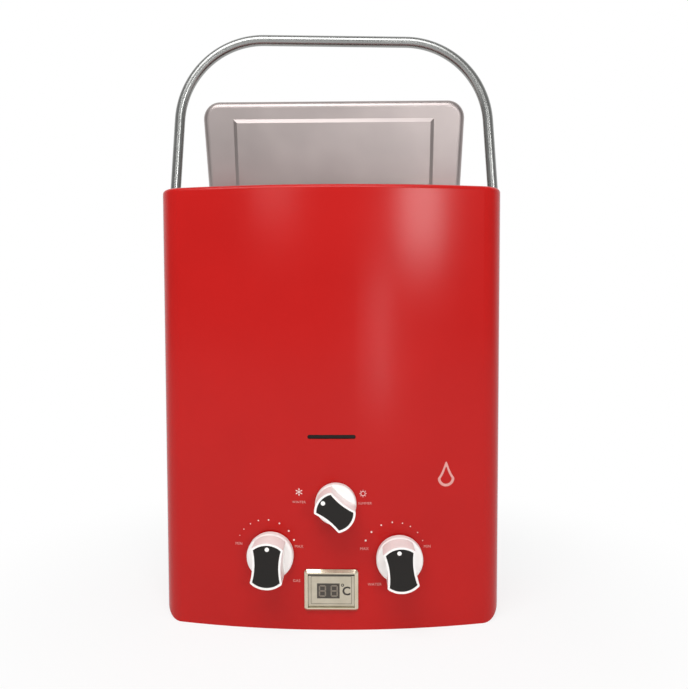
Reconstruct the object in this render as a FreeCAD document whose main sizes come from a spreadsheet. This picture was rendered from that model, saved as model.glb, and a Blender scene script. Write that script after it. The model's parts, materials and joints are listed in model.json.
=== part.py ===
import FreeCAD, Part

import math
import os
import re

import Sketcher

from FreeCAD import Placement, Rotation, Vector

# Portable propane water heater: enamelled cover over a back plate, hinged rain hood, folding
# carrying handle, three control knobs, temperature display, and the water, gas and ignition
# parts that they work. Everything is drawn with y counted back from the front of the cover,
# and then set about the middle of the whole depth. Lengths are in millimetres.

SIZES = {
    # cover and back plate
    "cover_width": 290, "cover_height": 370, "body_depth": 128, "front_radius": 618,
    "corner_radius": 21.5, "cover_sheet": 1.2, "top_edge_radius": 3.5, "base_corner_radius": 15,
    "base_front_rim": 22, "base_rear_rim": 16, "base_side_rim": 10.5, "fit_gap": 0.3,
    "back_sheet": 1.5, "back_flange": 16, "wall_hole_radius": 3,
    "wall_hole_x": "=cover_width / 2 - hole_side", "hole_side": 35, "wall_hole_low": 24,
    "wall_hole_high": "=cover_height - hole_drop", "hole_drop": 26, "side_screw_low": 38,
    "side_screw_high": "=cover_height - screw_drop", "screw_drop": 100, "screw_radius": 1.9,
    "screw_head_radius": 4, "screw_head": 2,
    # bottom pan
    "pan_height": 6, "pan_sheet": 1.2, "hose_room": 17, "drain_room": 1.5, "air_slot_width": 6,
    "cutter": 5, "air_slot_pitch": 18, "air_slot_count": 7, "air_slot_start": -78,
    "air_slot_front": 86, "air_slot_rear": 108,
    # outlet in the top
    "outlet_half_width": "=chamber_half - flue_step", "outlet_front": 45, "outlet_rear": 101,
    "grille_rim": 12, "grille_sheet": 1, "grille_lip": 7, "slot_length": 46, "slot_width": 6.5,
    "slot_pitch": 11,
    # flame window and display
    "window_height": 162.6, "window_length": 40, "window_gap": 3.5, "window_x": 1,
    "mica_sheet": 0.8, "mica_margin": 6, "display_x": 0.4, "display_z": 34.4, "bezel_width": 44.7,
    "bezel_height": 35, "bezel_depth": 3.2, "bezel_neck": 5, "lens_width": 38.4,
    "lens_height": 28, "lens_sheet": 1.2, "lens_recess": 2.2, "lens_gap": 0.2, "bezel_wall": 1.2,
    "bezel_corner": 2.6, "bezel_flat": 1, "housing_depth": 16, "housing_wall": 1.5,
    "housing_front": 1.8, "board_sheet": 1.6, "digit_width": 19, "digit_height": 12,
    "digit_depth": 6, "digit_left": 3, "board_gap": 0.3,
    # rain hood
    "hinge_depth": 122, "hinge_rise": 6, "hood_lean": 11,
    "hood_base_half": "=leaf_x + leaf_half + hood_side_room", "hood_side_room": 8.2,
    "hood_top_half": "=hood_base_half + hood_flare", "hood_flare": 2.4, "hood_length": 94.5,
    "hood_start": 4.2, "hood_sheet": 1, "hood_rim": 7.8, "hood_bend": 6, "hood_corner": 16.5,
    "panel_half": "=outlet_half_width + panel_margin", "panel_margin": 13, "panel_top": 78,
    "panel_start": 12, "panel_raise": 2.2, "panel_slope": 3.6,
    "leaf_x": "=outlet_half_width + grille_rim + leaf_gap + leaf_half", "leaf_gap": 0.5,
    "leaf_half": 10, "leaf_sheet": 1.2, "leaf_length": 20, "leaf_foot": 18, "knuckle_half": 3.5,
    "knuckle_radius": 3.2, "pin_radius": 1.5, "pin_head": 1, "pin_head_radius": 2.4,
    "run_gap": 0.05, "side_gap": 0.4,
    # carrying handle
    "tube_radius": 4.75, "pivot_x": "=cover_width / 2 + pivot_stand", "pivot_stand": 8,
    "pivot_z": "=cover_height - pivot_drop", "pivot_drop": 48, "pivot_depth": 100,
    "leg_side": "=pivot_x + leg_set", "leg_set": 0.2, "leg_knee": "=cover_height + knee_rise",
    "knee_rise": 2, "leg_lean": 4.4, "knee_bend": 60, "bar_height": 523.1, "bar_skew": 6.2,
    "handle_bend": 80.5, "eye_radius": 8, "eye_sheet": 3.6, "eye_set": 3, "bush_radius": 4,
    "bolt_radius": 3, "bolt_head": 2.6, "bolt_head_radius": 6.5, "bracket_sheet": 2.5,
    "bracket_height": 28, "nut_height": 5, "nut_radius": 5.5, "rub_gap": 0.1, "socket_floor": 0.8,
    "tongue_width": 13, "tongue_length": 16,
    # knobs
    "gas_x": -50, "gas_z": 64.1, "gas_turn": 2, "water_x": 57, "water_z": 61.4, "water_turn": -7,
    "season_x": 4.4, "season_z": 107.9, "season_turn": -51.5, "knob_gap": 1, "disc_depth": 7.5,
    "disc_edge": 2.4, "grip_height": 20, "disc_radius": 19.3, "grip_length": 37.5,
    "grip_width": 25.6, "grip_waist": 22.4, "season_disc": 17, "season_length": 32.7,
    "season_width": 21.8, "season_waist": 19.2, "inlay_rim": 1.7, "inlay_recess": 1, "knob_wall": 2,
    "hub_radius": 6.5, "spindle_radius": 3, "spindle_grip": 12, "spindle_reach": 16,
    "grip_corner": 1.6, "notch_width": 2, "notch_depth": 1.4, "inlay_gap": 0.1, "inlay_sheet": 0.8,
    # valves
    "boss_front": 14, "boss_radius": 8, "boss_bore": 20, "valve_depth": 42, "valve_rear": 80,
    "gas_body_left": -76, "gas_body_right": -26, "water_body_left": 42, "water_body_right": 72,
    "valve_floor": 46, "valve_roof": 88, "fitting_depth": 62, "thread_radius": 10.48,
    "gas_thread_radius": 8.33, "thread_length": 20, "thread_start": 2, "fitting_bore": 6,
    "hex_height": 10, "hex_rim": 3, "diaphragm_radius": 26, "diaphragm_z": 66, "flange_sheet": 6,
    "diaphragm_sheet": 1.6, "diaphragm_cover": 7, "rod_radius": 2, "rod_travel": 3,
    "collar_radius": 10, "collar_sheet": 2, "valve_screw_ring": 21.5, "solenoid_radius": 13,
    "solenoid_length": 30, "solenoid_cap": 3, "drain_x": "=battery_x - drain_side",
    "drain_side": 28, "drain_radius": 5, "drain_cap": 7, "drain_knurl": 9, "port_depth": 14,
    "dish_sheet": 2, "dish_guide": 4, "guide_wall": 2.5, "flange_rim": 8, "rod_plate": 1.2,
    "rod_plate_radius": 14, "switch_length": 16, "switch_height": 14, "switch_depth": 7.6,
    "switch_offset": 7.4, "plunger_radius": 1.4, "plunger_rise": 4.3, "rod_seat": 6,
    "plunger_seat": 3, "tag_sheet": 0.8, "tag_half": 1.5, "tag_length": 5, "season_half": 16,
    "season_drop": 13.5, "season_front": 40, "season_rear": 68, "feed_half": 6, "arm_half": 8,
    "arm_sheet": 4, "bracket_plate": 2,
    # burner, chamber and pipes
    "chamber_half": "=cover_width / 2 - side_room", "side_room": 55, "flue_step": 6,
    "chamber_front": 36, "chamber_rear": 104, "chamber_sheet": 1, "chamber_corner": 12,
    "burner_floor": 120, "burner_top": 170, "fins_floor": "=fins_top - fin_height",
    "fin_height": 38, "fins_top": "=chamber_top - fin_drop", "fin_drop": 2,
    "chamber_top": "=cover_height - flue_room", "flue_room": 40, "bar_width": 12,
    "bar_pitch": "=2 * (chamber_half - bar_side) / bar_count", "bar_side": 10, "bar_count": 8,
    "bar_floor": 124, "bar_gap": 0.3, "bar_top": 156, "nozzle_z": 135, "nozzle_radius": 3,
    "nozzle_length": 13, "nozzle_entry": 5, "manifold_depth": 12, "manifold_height": 14,
    "manifold_wall": 2, "manifold_end": 10, "fin_sheet": 1.2, "fin_pitch": 7.6, "fin_tube": 7,
    "pipe_radius": 5.5, "pipe_wall": 0.8, "pipe_bend": 15, "pipe_entry": 1, "coil_gap": 2.5,
    "coil_floor": "=(cold_union_z + hot_z) / 2 - coil_low", "coil_low": 31.5, "coil_rise": 14,
    "union_radius": 7.4, "union_height": 12, "cold_union_z": 150, "port_gap": 0.1,
    "tube_offset": 18, "rail_width": 5, "throat_length": 26, "port_slot": 3, "jet_radius": 0.8,
    "stay_x": 60, "stay_sheet": 1.2, "stay_height": 20, "flue_gap": 0.2, "flue_lap": 4,
    "lug_half": 3, "lug_x": "=(bar_count - 1) / 2 * bar_pitch + lug_side", "lug_side": 7,
    "hot_x": "=hot_side - cover_width / 2", "hot_side": 32, "hot_depth": 88,
    "hot_z": "=(fins_floor + fins_top) / 2", "cold_x": 62, "cold_depth": 70, "riser_x": -40,
    "riser_depth": 60, "riser_radius": 4.5, "riser_bend": 10, "cold_bend": 10, "hot_bend": 12,
    "cold_level": 102, "end_bend": 8,
    # ignition and battery
    "igniter_left": "=chamber_half + coil_gap + 2 * pipe_radius + pipe_room", "pipe_room": 2.5,
    "igniter_width": 32, "igniter_depth": 48, "igniter_floor": 84, "igniter_height": 66,
    "recess_rim": 5, "recess_depth": 0.8, "electrode_x": -42, "sensor_x": 46, "rod_z": 161,
    "ceramic_radius": 4, "ceramic_start": 18, "wire_radius": 1, "lead_radius": 1.25,
    "battery_x": "=cover_width / 4 + battery_shift", "battery_shift": 40.5, "battery_radius": 16.5,
    "battery_height": 61.5, "battery_front": 29.5, "box_wall": 1.5, "cell_gap": 4, "cell_nub": 1.5,
    "cell_room": 1, "lid_sheet": 2, "lid_margin": 1.5, "lid_back": 102.8, "lid_hinge_z": 3.9,
    "lid_hinge_reach": 3.2, "lid_knuckle": 1.8, "lid_pin": 1, "ear_sheet": 2.6,
    "electrode_reach": 16, "electrode_collar": 3, "electrode_ring": 6.5,
    # leads
    "spark_inset": 16, "signal_inset": 22, "lead_out": 21, "spark_z": 134, "spark_side": 20,
    "spark_corner": 26, "spark_run": 151, "spark_dip": 5, "spark_right": 82, "spark_entry": 17,
    "spark_middle": 36, "spark_left": -12, "spark_lane": 11.5, "spark_cap": 8.5, "signal_z": 94.5,
    "signal_right": 86, "signal_lane": 32, "signal_middle": 54, "signal_run": 91, "signal_left": 28,
    "signal_low": 76, "plug_side": 10, "plug_rise": 4, "power_depth": 92, "lead_bend": 9,
    "lead_turn": 12, "lead_sweep": 20, "lead_wide": 30, "lead_tight": 4, "lead_foot": 5,
}

doc = FreeCAD.newDocument("portable_water_heater")
sheet = doc.addObject("Spreadsheet::Sheet", "dims")
for row, alias in enumerate(SIZES, 1):
    sheet.set(f"A{row}", alias)
    sheet.setAlias(f"B{row}", alias)
for row, number in enumerate(SIZES.values(), 1):
    sheet.set(f"B{row}", str(number))
doc.recompute()


class Values:
    """The sheet's numbers, for the shapes that are worked out point by point."""


dim = Values()
for alias in SIZES:
    setattr(dim, alias, float(sheet.get(alias)))

nodes = []

# the whole depth runs from the season knob's face to the back plate, and y is 0 at its middle
front = "((knob_gap + disc_depth + grip_height - body_depth) / 2)"
front_y = (dim.knob_gap + dim.disc_depth + dim.grip_height - dim.body_depth) / 2


def formula(text):
    """The text with each size's name made a reference to its cell."""
    return re.sub(r"[a-z][a-z0-9_]*", lambda word: cell(word.group()), str(text))


def cell(word):
    return "dims." + word if word in SIZES else word


def tie(item, **sizes):
    """Binds properties to formulas; a double underscore stands for the dot in a sub-property."""
    for name, text in sizes.items():
        item.setExpression(name.replace("__", "."), formula(text))


def place(item, x, depth, z):
    tie(item, Placement__Base__x=x, Placement__Base__y=f"{front} + {depth}", Placement__Base__z=z)


def node(label, item):
    item.Label = label
    nodes.append(item)
    return item


def block(name, x, depth, z):
    """A box between two formulas on each axis."""
    box = doc.addObject("Part::Box", name)
    tie(box, Length=f"({x[1]}) - ({x[0]})", Width=f"({depth[1]}) - ({depth[0]})",
        Height=f"({z[1]}) - ({z[0]})")
    place(box, x[0], depth[0], z[0])
    return box


TURNS = {"x": Rotation(Vector(0, 1, 0), 90), "y": Rotation(Vector(1, 0, 0), -90), "z": Rotation()}


def rod(name, axis, radius, start, end, *at):
    """A cylinder from start to end along an axis; at holds its other two coordinates in order."""
    cylinder = doc.addObject("Part::Cylinder", name)
    cylinder.Placement = Placement(Vector(), TURNS[axis])
    tie(cylinder, Radius=radius, Height=f"({end}) - ({start})")
    spot = list(at)
    spot.insert("xyz".index(axis), start)
    place(cylinder, *spot)
    return cylinder


def hexagon(name, axis, radius, start, end, *at):
    prism = doc.addObject("Part::Prism", name)
    prism.Polygon = 6
    prism.Placement = Placement(Vector(), TURNS[axis])
    tie(prism, Circumradius=radius, Height=f"({end}) - ({start})")
    spot = list(at)
    spot.insert("xyz".index(axis), start)
    place(prism, *spot)
    return prism


def join(name, *parts):
    fused = doc.addObject("Part::MultiFuse", name)
    fused.Shapes = list(parts)
    fused.Refine = True
    return fused


def group(name, *parts):
    bundle = doc.addObject("Part::Compound", name)
    bundle.Links = list(parts)
    return bundle


def cut(name, base, *tools):
    """The base less its tools, which are fused first so that they may cross each other."""
    less = doc.addObject("Part::Cut", name)
    less.Base = base
    less.Tool = tools[0] if len(tools) == 1 else join(name + "_tools", *tools)
    return less


def common(name, *parts):
    shared = doc.addObject("Part::MultiCommon", name)
    shared.Shapes = list(parts)
    return shared


def mirrored(name, source):
    """The same piece on the other side of the middle plane."""
    twin = doc.addObject("Part::Mirroring", name)
    twin.Source = source
    twin.Normal = Vector(1, 0, 0)
    return twin


def sagitta(x):
    """How far the bowed front lies behind its middle line at x, as a formula."""
    return f"(front_radius - sqrt(front_radius ^ 2 - ({x}) ^ 2))"


def bent_line(points, radii, closed=False):
    """Straight runs joined by tangent arcs, one radius for each point and 0 at a sharp one."""
    count = len(points)
    enters, leaves, arcs = list(points), list(points), [None] * count
    for k, (point, radius) in enumerate(zip(points, radii)):
        if radius == 0:
            continue
        back = (points[k - 1] - point).normalize()
        ahead = (points[(k + 1) % count] - point).normalize()
        half = back.getAngle(ahead) / 2
        enters[k] = point + back * (radius / math.tan(half))
        leaves[k] = point + ahead * (radius / math.tan(half))
        inward = (back + ahead).normalize()
        arcs[k] = Part.Arc(enters[k], point + inward * (radius / math.sin(half) - radius), leaves[k])
    curves = []
    for k in range(count if closed else count - 1):
        if arcs[k]:
            curves.append(arcs[k])
        after = (k + 1) % count
        if leaves[k].distanceToPoint(enters[after]) > 1e-6:
            curves.append(Part.LineSegment(leaves[k], enters[after]))
    return curves


def body(name):
    return doc.addObject("PartDesign::Body", name)


def sketch(owner, name, plane, offset="0"):
    """A sketch on one of its body's own planes, moved along that plane's normal."""
    drawing = owner.newObject("Sketcher::SketchObject", name)
    base = [item for item in owner.Origin.OriginFeatures if item.Role == plane + "_Plane"][0]
    drawing.AttachmentSupport = [(base, "")]
    drawing.MapMode = "FlatFace"
    tie(drawing, AttachmentOffset__Base__z=offset)
    return drawing


def circle(drawing, radius):
    """A circle about the sketch's origin, its radius bound."""
    drawing.addGeometry(Part.Circle(Vector(), Vector(0, 0, 1), 1))
    last = len(drawing.Geometry) - 1
    drawing.addConstraint(Sketcher.Constraint("Coincident", last, 3, -1, 1))
    drawing.addConstraint(Sketcher.Constraint("Radius", last, 1.0))
    drawing.setExpression(f"Constraints[{drawing.ConstraintCount - 1}]", formula(radius))


def outline(drawing, points, radii):
    drawing.addGeometry([curve for curve in bent_line(points, radii, closed=True)])


def grow(owner, kind, name, profile, length, **more):
    """A pad or a pocket of a bound length."""
    feature = owner.newObject("PartDesign::" + kind, name)
    feature.Profile = profile
    for key, value in more.items():
        setattr(feature, key, value)
    tie(feature, Length=length)
    owner.Tip = feature
    return feature


def soften(owner, name, base, radius, test):
    """A bound fillet on the edges that pass a test on their middle point and bounding box."""
    doc.recompute()
    picked = []
    for number, edge in enumerate(base.Shape.Edges, 1):
        middle = edge.valueAt((edge.FirstParameter + edge.LastParameter) / 2)
        if test(middle, edge.BoundBox):
            picked.append(f"Edge{number}")
    feature = owner.newObject("PartDesign::Fillet", name)
    feature.Base = (base, picked)
    tie(feature, Radius=radius)
    owner.Tip = feature
    return feature


def tube(name, points, radii, radius, bore=None):
    """A pipe along straight runs and tangent arcs, hollow where a bore is given."""
    spots = [Vector(x, front_y + depth, z) for x, depth, z in points]
    curves = bent_line(spots, radii)
    route = doc.addObject("Part::Feature", name + "_route")
    route.Shape = Part.Wire([curve.toShape() for curve in curves])
    heading = (spots[1] - spots[0]).normalize()
    sweeps = []
    for suffix, size in (("_outer", radius), ("_bore", bore)):
        if size is None:
            continue
        profile = doc.addObject("Part::Circle", name + suffix + "_ring")
        profile.Placement = Placement(spots[0], Rotation(Vector(0, 0, 1), heading))
        tie(profile, Radius=size)
        pipe = doc.addObject("Part::Sweep", name + suffix)
        pipe.Sections = [profile]
        pipe.Spine = (route, [f"Edge{k + 1}" for k in range(len(curves))])
        pipe.Solid = True
        pipe.Frenet = False
        sweeps.append(pipe)
    return cut(name, *sweeps) if bore else sweeps[0]


def total(names):
    return sum(getattr(dim, name) for name in names)


def cover_form(name, inset):
    """The cover's solid shape, drawn in by the named sizes; an inner form also passes the back."""
    gap = total(inset)
    inward = " + ".join(inset) or "0"
    back = dim.body_depth + (1 if inset else 0)
    owner = body(name + "_plan")
    place(owner, "0", "0", inward)
    plan = sketch(owner, name + "_plan_line", "XY")
    corner_x = dim.cover_width / 2 - dim.corner_radius
    corner_y = dim.front_radius - math.sqrt((dim.front_radius - dim.corner_radius) ** 2 - corner_x ** 2)
    swing = math.atan2(corner_x, dim.front_radius - corner_y)
    bow = dim.front_radius - gap
    bend = dim.corner_radius - gap
    left = Vector(-bow * math.sin(swing), dim.front_radius - bow * math.cos(swing), 0)
    right = Vector(-left.x, left.y, 0)
    side = corner_x + bend
    half = (swing + math.pi / 2) / 2
    middle = Vector(corner_x + bend * math.sin(half), corner_y - bend * math.cos(half), 0)
    plan.addGeometry([
        Part.Arc(left, Vector(0, gap, 0), right),
        Part.Arc(right, middle, Vector(side, corner_y, 0)),
        Part.LineSegment(Vector(side, corner_y, 0), Vector(side, back, 0)),
        Part.LineSegment(Vector(side, back, 0), Vector(-side, back, 0)),
        Part.LineSegment(Vector(-side, back, 0), Vector(-side, corner_y, 0)),
        Part.Arc(Vector(-side, corner_y, 0), Vector(-middle.x, middle.y, 0), left),
    ])
    rise = grow(owner, "Pad", name + "_rise", plan, f"cover_height - 2 * ({inward})")
    top = dim.cover_height - 2 * gap
    soften(owner, name + "_top", rise, f"top_edge_radius - ({inward})",
           lambda middle, box: box.ZMin > top - 1 and middle.y < back - 1)
    return common(name, owner, elevation_form(name + "_front", inset))


def elevation_form(name, inset, top_corners=False):
    """The rounded outline seen from the front, as deep as the whole part."""
    gap = total(inset)
    owner = body(name)
    place(owner, "0", "0", "0")
    face = sketch(owner, name + "_line", "XZ", "-2 * body_depth")
    side = dim.cover_width / 2 - gap
    top = dim.cover_height - gap
    corners = [Vector(-side, gap, 0), Vector(side, gap, 0), Vector(side, top, 0), Vector(-side, top, 0)]
    bend = dim.base_corner_radius - gap
    crown = dim.top_edge_radius - gap if top_corners else 0
    outline(face, corners, [bend, bend, crown, crown])
    grow(owner, "Pad", name + "_depth", face, "3 * body_depth")
    return owner


# Places that several sub-parts share
inner_side = "(cover_width / 2 - cover_sheet - fit_gap)"
flange_side = f"({inner_side} - back_sheet)"
plate_front = "(body_depth - back_sheet)"
pan_top = "(pan_height + pan_sheet)"
bay_half = "(battery_radius + cell_room / 2)"
bay_rear = "(battery_front + 4 * battery_radius + cell_gap + 2 * cell_room)"
lid_axis = "(lid_back + lid_hinge_reach)"
lid_ears = (f"(battery_x - {bay_half} - ear_sheet / 2)", f"(battery_x + {bay_half} + ear_sheet / 2)")
knobs = {
    "gas": {"radius": "disc_radius", "length": "grip_length", "width": "grip_width",
            "waist": "grip_waist"},
    "water": {"radius": "disc_radius", "length": "grip_length", "width": "grip_width",
              "waist": "grip_waist"},
    "season": {"radius": "season_disc", "length": "season_length", "width": "season_width",
               "waist": "season_waist"},
}


def slot_cutter(name, length, height, x, z):
    """A round-ended slot through the front of the cover."""
    reach = ("-cutter", "4 * cutter")
    return join(name,
                block(name + "_middle",
                      (f"{x} - {length} / 2 + {height} / 2", f"{x} + {length} / 2 - {height} / 2"),
                      reach, (f"{z} - {height} / 2", f"{z} + {height} / 2")),
                rod(name + "_left", "y", f"{height} / 2", *reach, f"{x} - {length} / 2 + {height} / 2", z),
                rod(name + "_right", "y", f"{height} / 2", *reach, f"{x} + {length} / 2 - {height} / 2", z))


def side_rods(name, radius, start, end, spots):
    """Rods along X at the same heights on both sides."""
    rods = []
    for k, (depth, z) in enumerate(spots):
        rods.append(rod(f"{name}_right_{k}", "x", radius, start, end, depth, z))
        rods.append(rod(f"{name}_left_{k}", "x", radius, f"-({end})", f"-({start})", depth, z))
    return rods


screw_depth = "(body_depth - back_flange / 2)"
side_screws = [(screw_depth, "side_screw_low"), (screw_depth, "side_screw_high")]


def front_cover():
    around = "(lens_gap + bezel_wall + fit_gap)"
    side = "(cover_width / 2 - base_side_rim)"
    openings = [
        slot_cutter("flame_slot", "window_length", "window_gap", "window_x", "window_height"),
        block("display_hole",
              (f"display_x - lens_width / 2 - {around}", f"display_x + lens_width / 2 + {around}"),
              ("-cutter", "4 * cutter"),
              (f"display_z - lens_height / 2 - {around}", f"display_z + lens_height / 2 + {around}")),
        block("outlet_hole", ("-outlet_half_width", "outlet_half_width"), ("outlet_front", "outlet_rear"),
              ("cover_height - 4 * cutter", "cover_height + cutter")),
        block("base_hole", (f"-{side}", side), ("base_front_rim", "body_depth - base_rear_rim"),
              ("-cutter", "cover_sheet + 1")),
    ]
    for name in knobs:
        openings.append(rod(f"{name}_cover_hole", "y", "boss_radius + 1", "-cutter", "4 * cutter",
                            f"{name}_x", f"{name}_z"))
    openings += side_rods("pivot_hole", "bolt_radius + fit_gap", "cover_width / 2 - cutter",
                          "cover_width / 2 + cutter", [("pivot_depth", "pivot_z")])
    openings += side_rods("screw_hole", "screw_radius + fit_gap", "cover_width / 2 - cutter",
                          "cover_width / 2 + cutter", side_screws)
    shell = cut("cover_shell", cover_form("cover_outer", ()), cover_form("cover_inner", ("cover_sheet",)))
    node("front_cover", cut("cover", shell, *openings))


def cover_screws():
    heads = side_rods("side_head", "screw_head_radius", "cover_width / 2",
                      "cover_width / 2 + screw_head", side_screws)
    shanks = side_rods("side_shank", "screw_radius", "cover_width / 2 - 6", "cover_width / 2", side_screws)
    node("cover_screws", group("side_screws", *[join(f"side_screw_{k}", head, shank)
                                                for k, (head, shank) in enumerate(zip(heads, shanks))]))


def back_plate():
    plate = common("back_sheet_metal", elevation_form("back_outline", ("cover_sheet", "fit_gap"), True),
                   block("back_slab", ("-cover_width", "cover_width"), (plate_front, "body_depth"),
                         ("0", "cover_height")))
    flange_front = "(body_depth - back_flange)"
    roof = "(cover_height - cover_sheet - fit_gap)"
    tall = ("base_corner_radius + cutter", "cover_height - 8")
    wide = "(cover_width / 2 - corner_radius)"
    flanges = [
        block("right_flange", (flange_side, inner_side), (flange_front, plate_front), tall),
        block("left_flange", (f"-{inner_side}", f"-{flange_side}"), (flange_front, plate_front), tall),
        block("top_flange", (f"-{wide}", wide), (flange_front, plate_front), (f"{roof} - back_sheet", roof)),
        block("base_flange", (f"-{wide}", wide), (flange_front, plate_front),
              ("pan_height - back_sheet", "pan_height")),
    ]
    holes = side_rods("flange_hole", "screw_radius", "cover_width / 2 - 6", "cover_width / 2", side_screws)
    for side in ("-", ""):
        for level in ("low", "high"):
            holes.append(rod(f"wall_hole_{level}{'_left' if side else ''}", "y", "wall_hole_radius",
                             "body_depth - cutter", "body_depth + cutter", f"{side}wall_hole_x",
                             f"wall_hole_{level}"))
    node("back_plate", cut("back", join("back_tray", plate, *flanges), *holes))


def bottom_pan():
    floor = common("pan_floor", cover_form("pan_outline", ("cover_sheet", "fit_gap")),
                   block("pan_slab", ("-cover_width", "cover_width"), ("-cutter", plate_front),
                         ("pan_height", pan_top)))
    ears = [block(f"lid_ear_{k}", (f"{x} - ear_sheet / 2", f"{x} + ear_sheet / 2"),
                  (f"{lid_axis} - lid_knuckle", f"{lid_axis} + lid_knuckle"),
                  ("lid_hinge_z - lid_knuckle", "pan_height")) for k, x in enumerate(lid_ears)]
    holes = [
        rod("water_port", "z", "hose_room", "pan_height - cutter / 2", "pan_height + cutter", "water_x",
            "fitting_depth"),
        rod("gas_port", "z", "hose_room", "pan_height - cutter / 2", "pan_height + cutter", "gas_x",
            "fitting_depth"),
        rod("hot_port", "z", "hose_room", "pan_height - cutter / 2", "pan_height + cutter", "hot_x",
            "hot_depth"),
        rod("drain_port", "z", "drain_cap + drain_room", "pan_height - cutter / 2", "pan_height + cutter",
            "drain_x",
            "fitting_depth"),
        block("battery_door", (f"battery_x - {bay_half}", f"battery_x + {bay_half}"),
              ("battery_front", bay_rear), ("pan_height - cutter / 2", "pan_height + cutter")),
        rod("ear_bore", "x", "lid_pin + run_gap", "battery_x - 3 * battery_radius",
            "battery_x + 3 * battery_radius", lid_axis,
            "lid_hinge_z"),
    ]
    for k in range(int(dim.air_slot_count)):
        x = f"air_slot_start + {k} * air_slot_pitch"
        holes.append(block(f"air_slot_{k}", (x, f"{x} + air_slot_width"),
                           ("air_slot_front", "air_slot_rear"),
                           ("pan_height - cutter / 2", "pan_height + cutter")))
    node("bottom_pan", cut("pan", join("pan_with_ears", floor, *ears), *holes))


def exhaust_grille():
    half, near, far = "(outlet_half_width - fit_gap)", "(outlet_front + fit_gap)", "(outlet_rear - fit_gap)"
    top = "cover_height"
    plate = block("grille_plate", ("-outlet_half_width - grille_rim", "outlet_half_width + grille_rim"),
                  ("outlet_front - grille_rim", "outlet_rear + grille_rim"), (top, f"{top} + grille_sheet"))
    lip = cut("grille_lip_ring",
              block("grille_lip_out", (f"-{half}", half), (near, far), (f"{top} - grille_lip", top)),
              block("grille_lip_in", (f"grille_sheet - {half}", f"{half} - grille_sheet"),
                    (f"{near} + grille_sheet", f"{far} - grille_sheet"),
                    (f"{top} - grille_lip - 1", f"{top} + 1")))
    slots = []
    for column in (-1, 0, 1):
        for row in (-2, -1, 0, 1, 2):
            x = f"({column} * (slot_length + 6))"
            depth = f"((outlet_front + outlet_rear) / 2 + {row} * slot_pitch)"
            slots.append(block(f"grille_slot_{column + 2}_{row + 3}",
                               (f"{x} - slot_length / 2", f"{x} + slot_length / 2"),
                               (f"{depth} - slot_width / 2", f"{depth} + slot_width / 2"),
                               (f"{top} - cutter / 2", f"{top} + cutter")))
    node("exhaust_grille", cut("grille", join("grille_sheet_metal", plate, lip), *slots))


def flame_window():
    half = "(window_length / 2 + mica_margin)"
    face = f"({sagitta('window_length / 2 + mica_margin + window_x')} + cover_sheet)"
    node("flame_window", block("mica", (f"window_x - {half}", f"window_x + {half}"),
                               (face, f"{face} + mica_sheet"),
                               ("window_height - window_gap / 2 - mica_margin",
                                "window_height + window_gap / 2 + mica_margin")))


def display():
    owner = body("bezel")
    place(owner, "display_x", "0", "display_z")
    wide, high = dim.bezel_width / 2, dim.bezel_height / 2
    corners = [Vector(-wide, -high, 0), Vector(wide, -high, 0), Vector(wide, high, 0),
               Vector(-wide, high, 0)]
    face = sketch(owner, "bezel_line", "XZ", "0")
    outline(face, corners, [dim.bezel_corner] * 4)
    frame = grow(owner, "Pad", "bezel_frame", face, "bezel_depth")
    slope = owner.newObject("PartDesign::Chamfer", "bezel_slope")
    doc.recompute()
    front_edges = [f"Edge{k}" for k, edge in enumerate(frame.Shape.Edges, 1)
                   if edge.BoundBox.YMax < 0.01 - dim.bezel_depth]
    slope.Base = (frame, front_edges)
    tie(slope, Size="bezel_depth - bezel_flat")
    owner.Tip = slope
    inner = ("(lens_width / 2 + lens_gap)", "(lens_height / 2 + lens_gap)")
    neck = block("bezel_neck_block",
                 (f"display_x - {inner[0]} - bezel_wall", f"display_x + {inner[0]} + bezel_wall"),
                 ("-bezel_flat", "bezel_neck"),
                 (f"display_z - {inner[1]} - bezel_wall", f"display_z + {inner[1]} + bezel_wall"))
    opening = block("bezel_opening", (f"display_x - {inner[0]}", f"display_x + {inner[0]}"),
                    ("-2 * bezel_depth", "2 * bezel_neck"),
                    (f"display_z - {inner[1]}", f"display_z + {inner[1]}"))
    node("display_bezel", cut("bezel_ring", join("bezel_solid", owner, neck), opening))
    lens_face = "(lens_recess - bezel_depth)"
    node("display_lens", block("lens", ("display_x - lens_width / 2", "display_x + lens_width / 2"),
                               (lens_face, f"{lens_face} + lens_sheet"),
                               ("display_z - lens_height / 2", "display_z + lens_height / 2")))
    back = "(housing_front + housing_depth)"
    around = "(lens_gap + bezel_wall + fit_gap + housing_wall)"
    wide, high = f"(lens_width / 2 + {around})", f"(lens_height / 2 + {around})"
    shell = block("housing_out", (f"display_x - {wide}", f"display_x + {wide}"), ("housing_front", back),
                  (f"display_z - {high}", f"display_z + {high}"))
    room = block("housing_in", (f"display_x - {wide} + housing_wall", f"display_x + {wide} - housing_wall"),
                 ("housing_front - 1", f"{back} - housing_wall"),
                 (f"display_z - {high} + housing_wall", f"display_z + {high} - housing_wall"))
    node("display_housing", cut("housing", shell, room))
    board_back = f"({back} - housing_wall)"
    edge = "(housing_wall + board_gap)"
    board = block("board", (f"display_x - {wide} + {edge}", f"display_x + {wide} - {edge}"),
                  (f"{board_back} - board_sheet", board_back),
                  (f"display_z - {high} + {edge}", f"display_z + {high} - {edge}"))
    digits = block("digits",
                   ("display_x - digit_width / 2 - digit_left", "display_x + digit_width / 2 - digit_left"),
                   (f"{board_back} - board_sheet - digit_depth", f"{board_back} - board_sheet"),
                   ("display_z - digit_height / 2", "display_z + digit_height / 2"))
    node("display_board", join("board_and_digits", board, digits))


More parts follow.
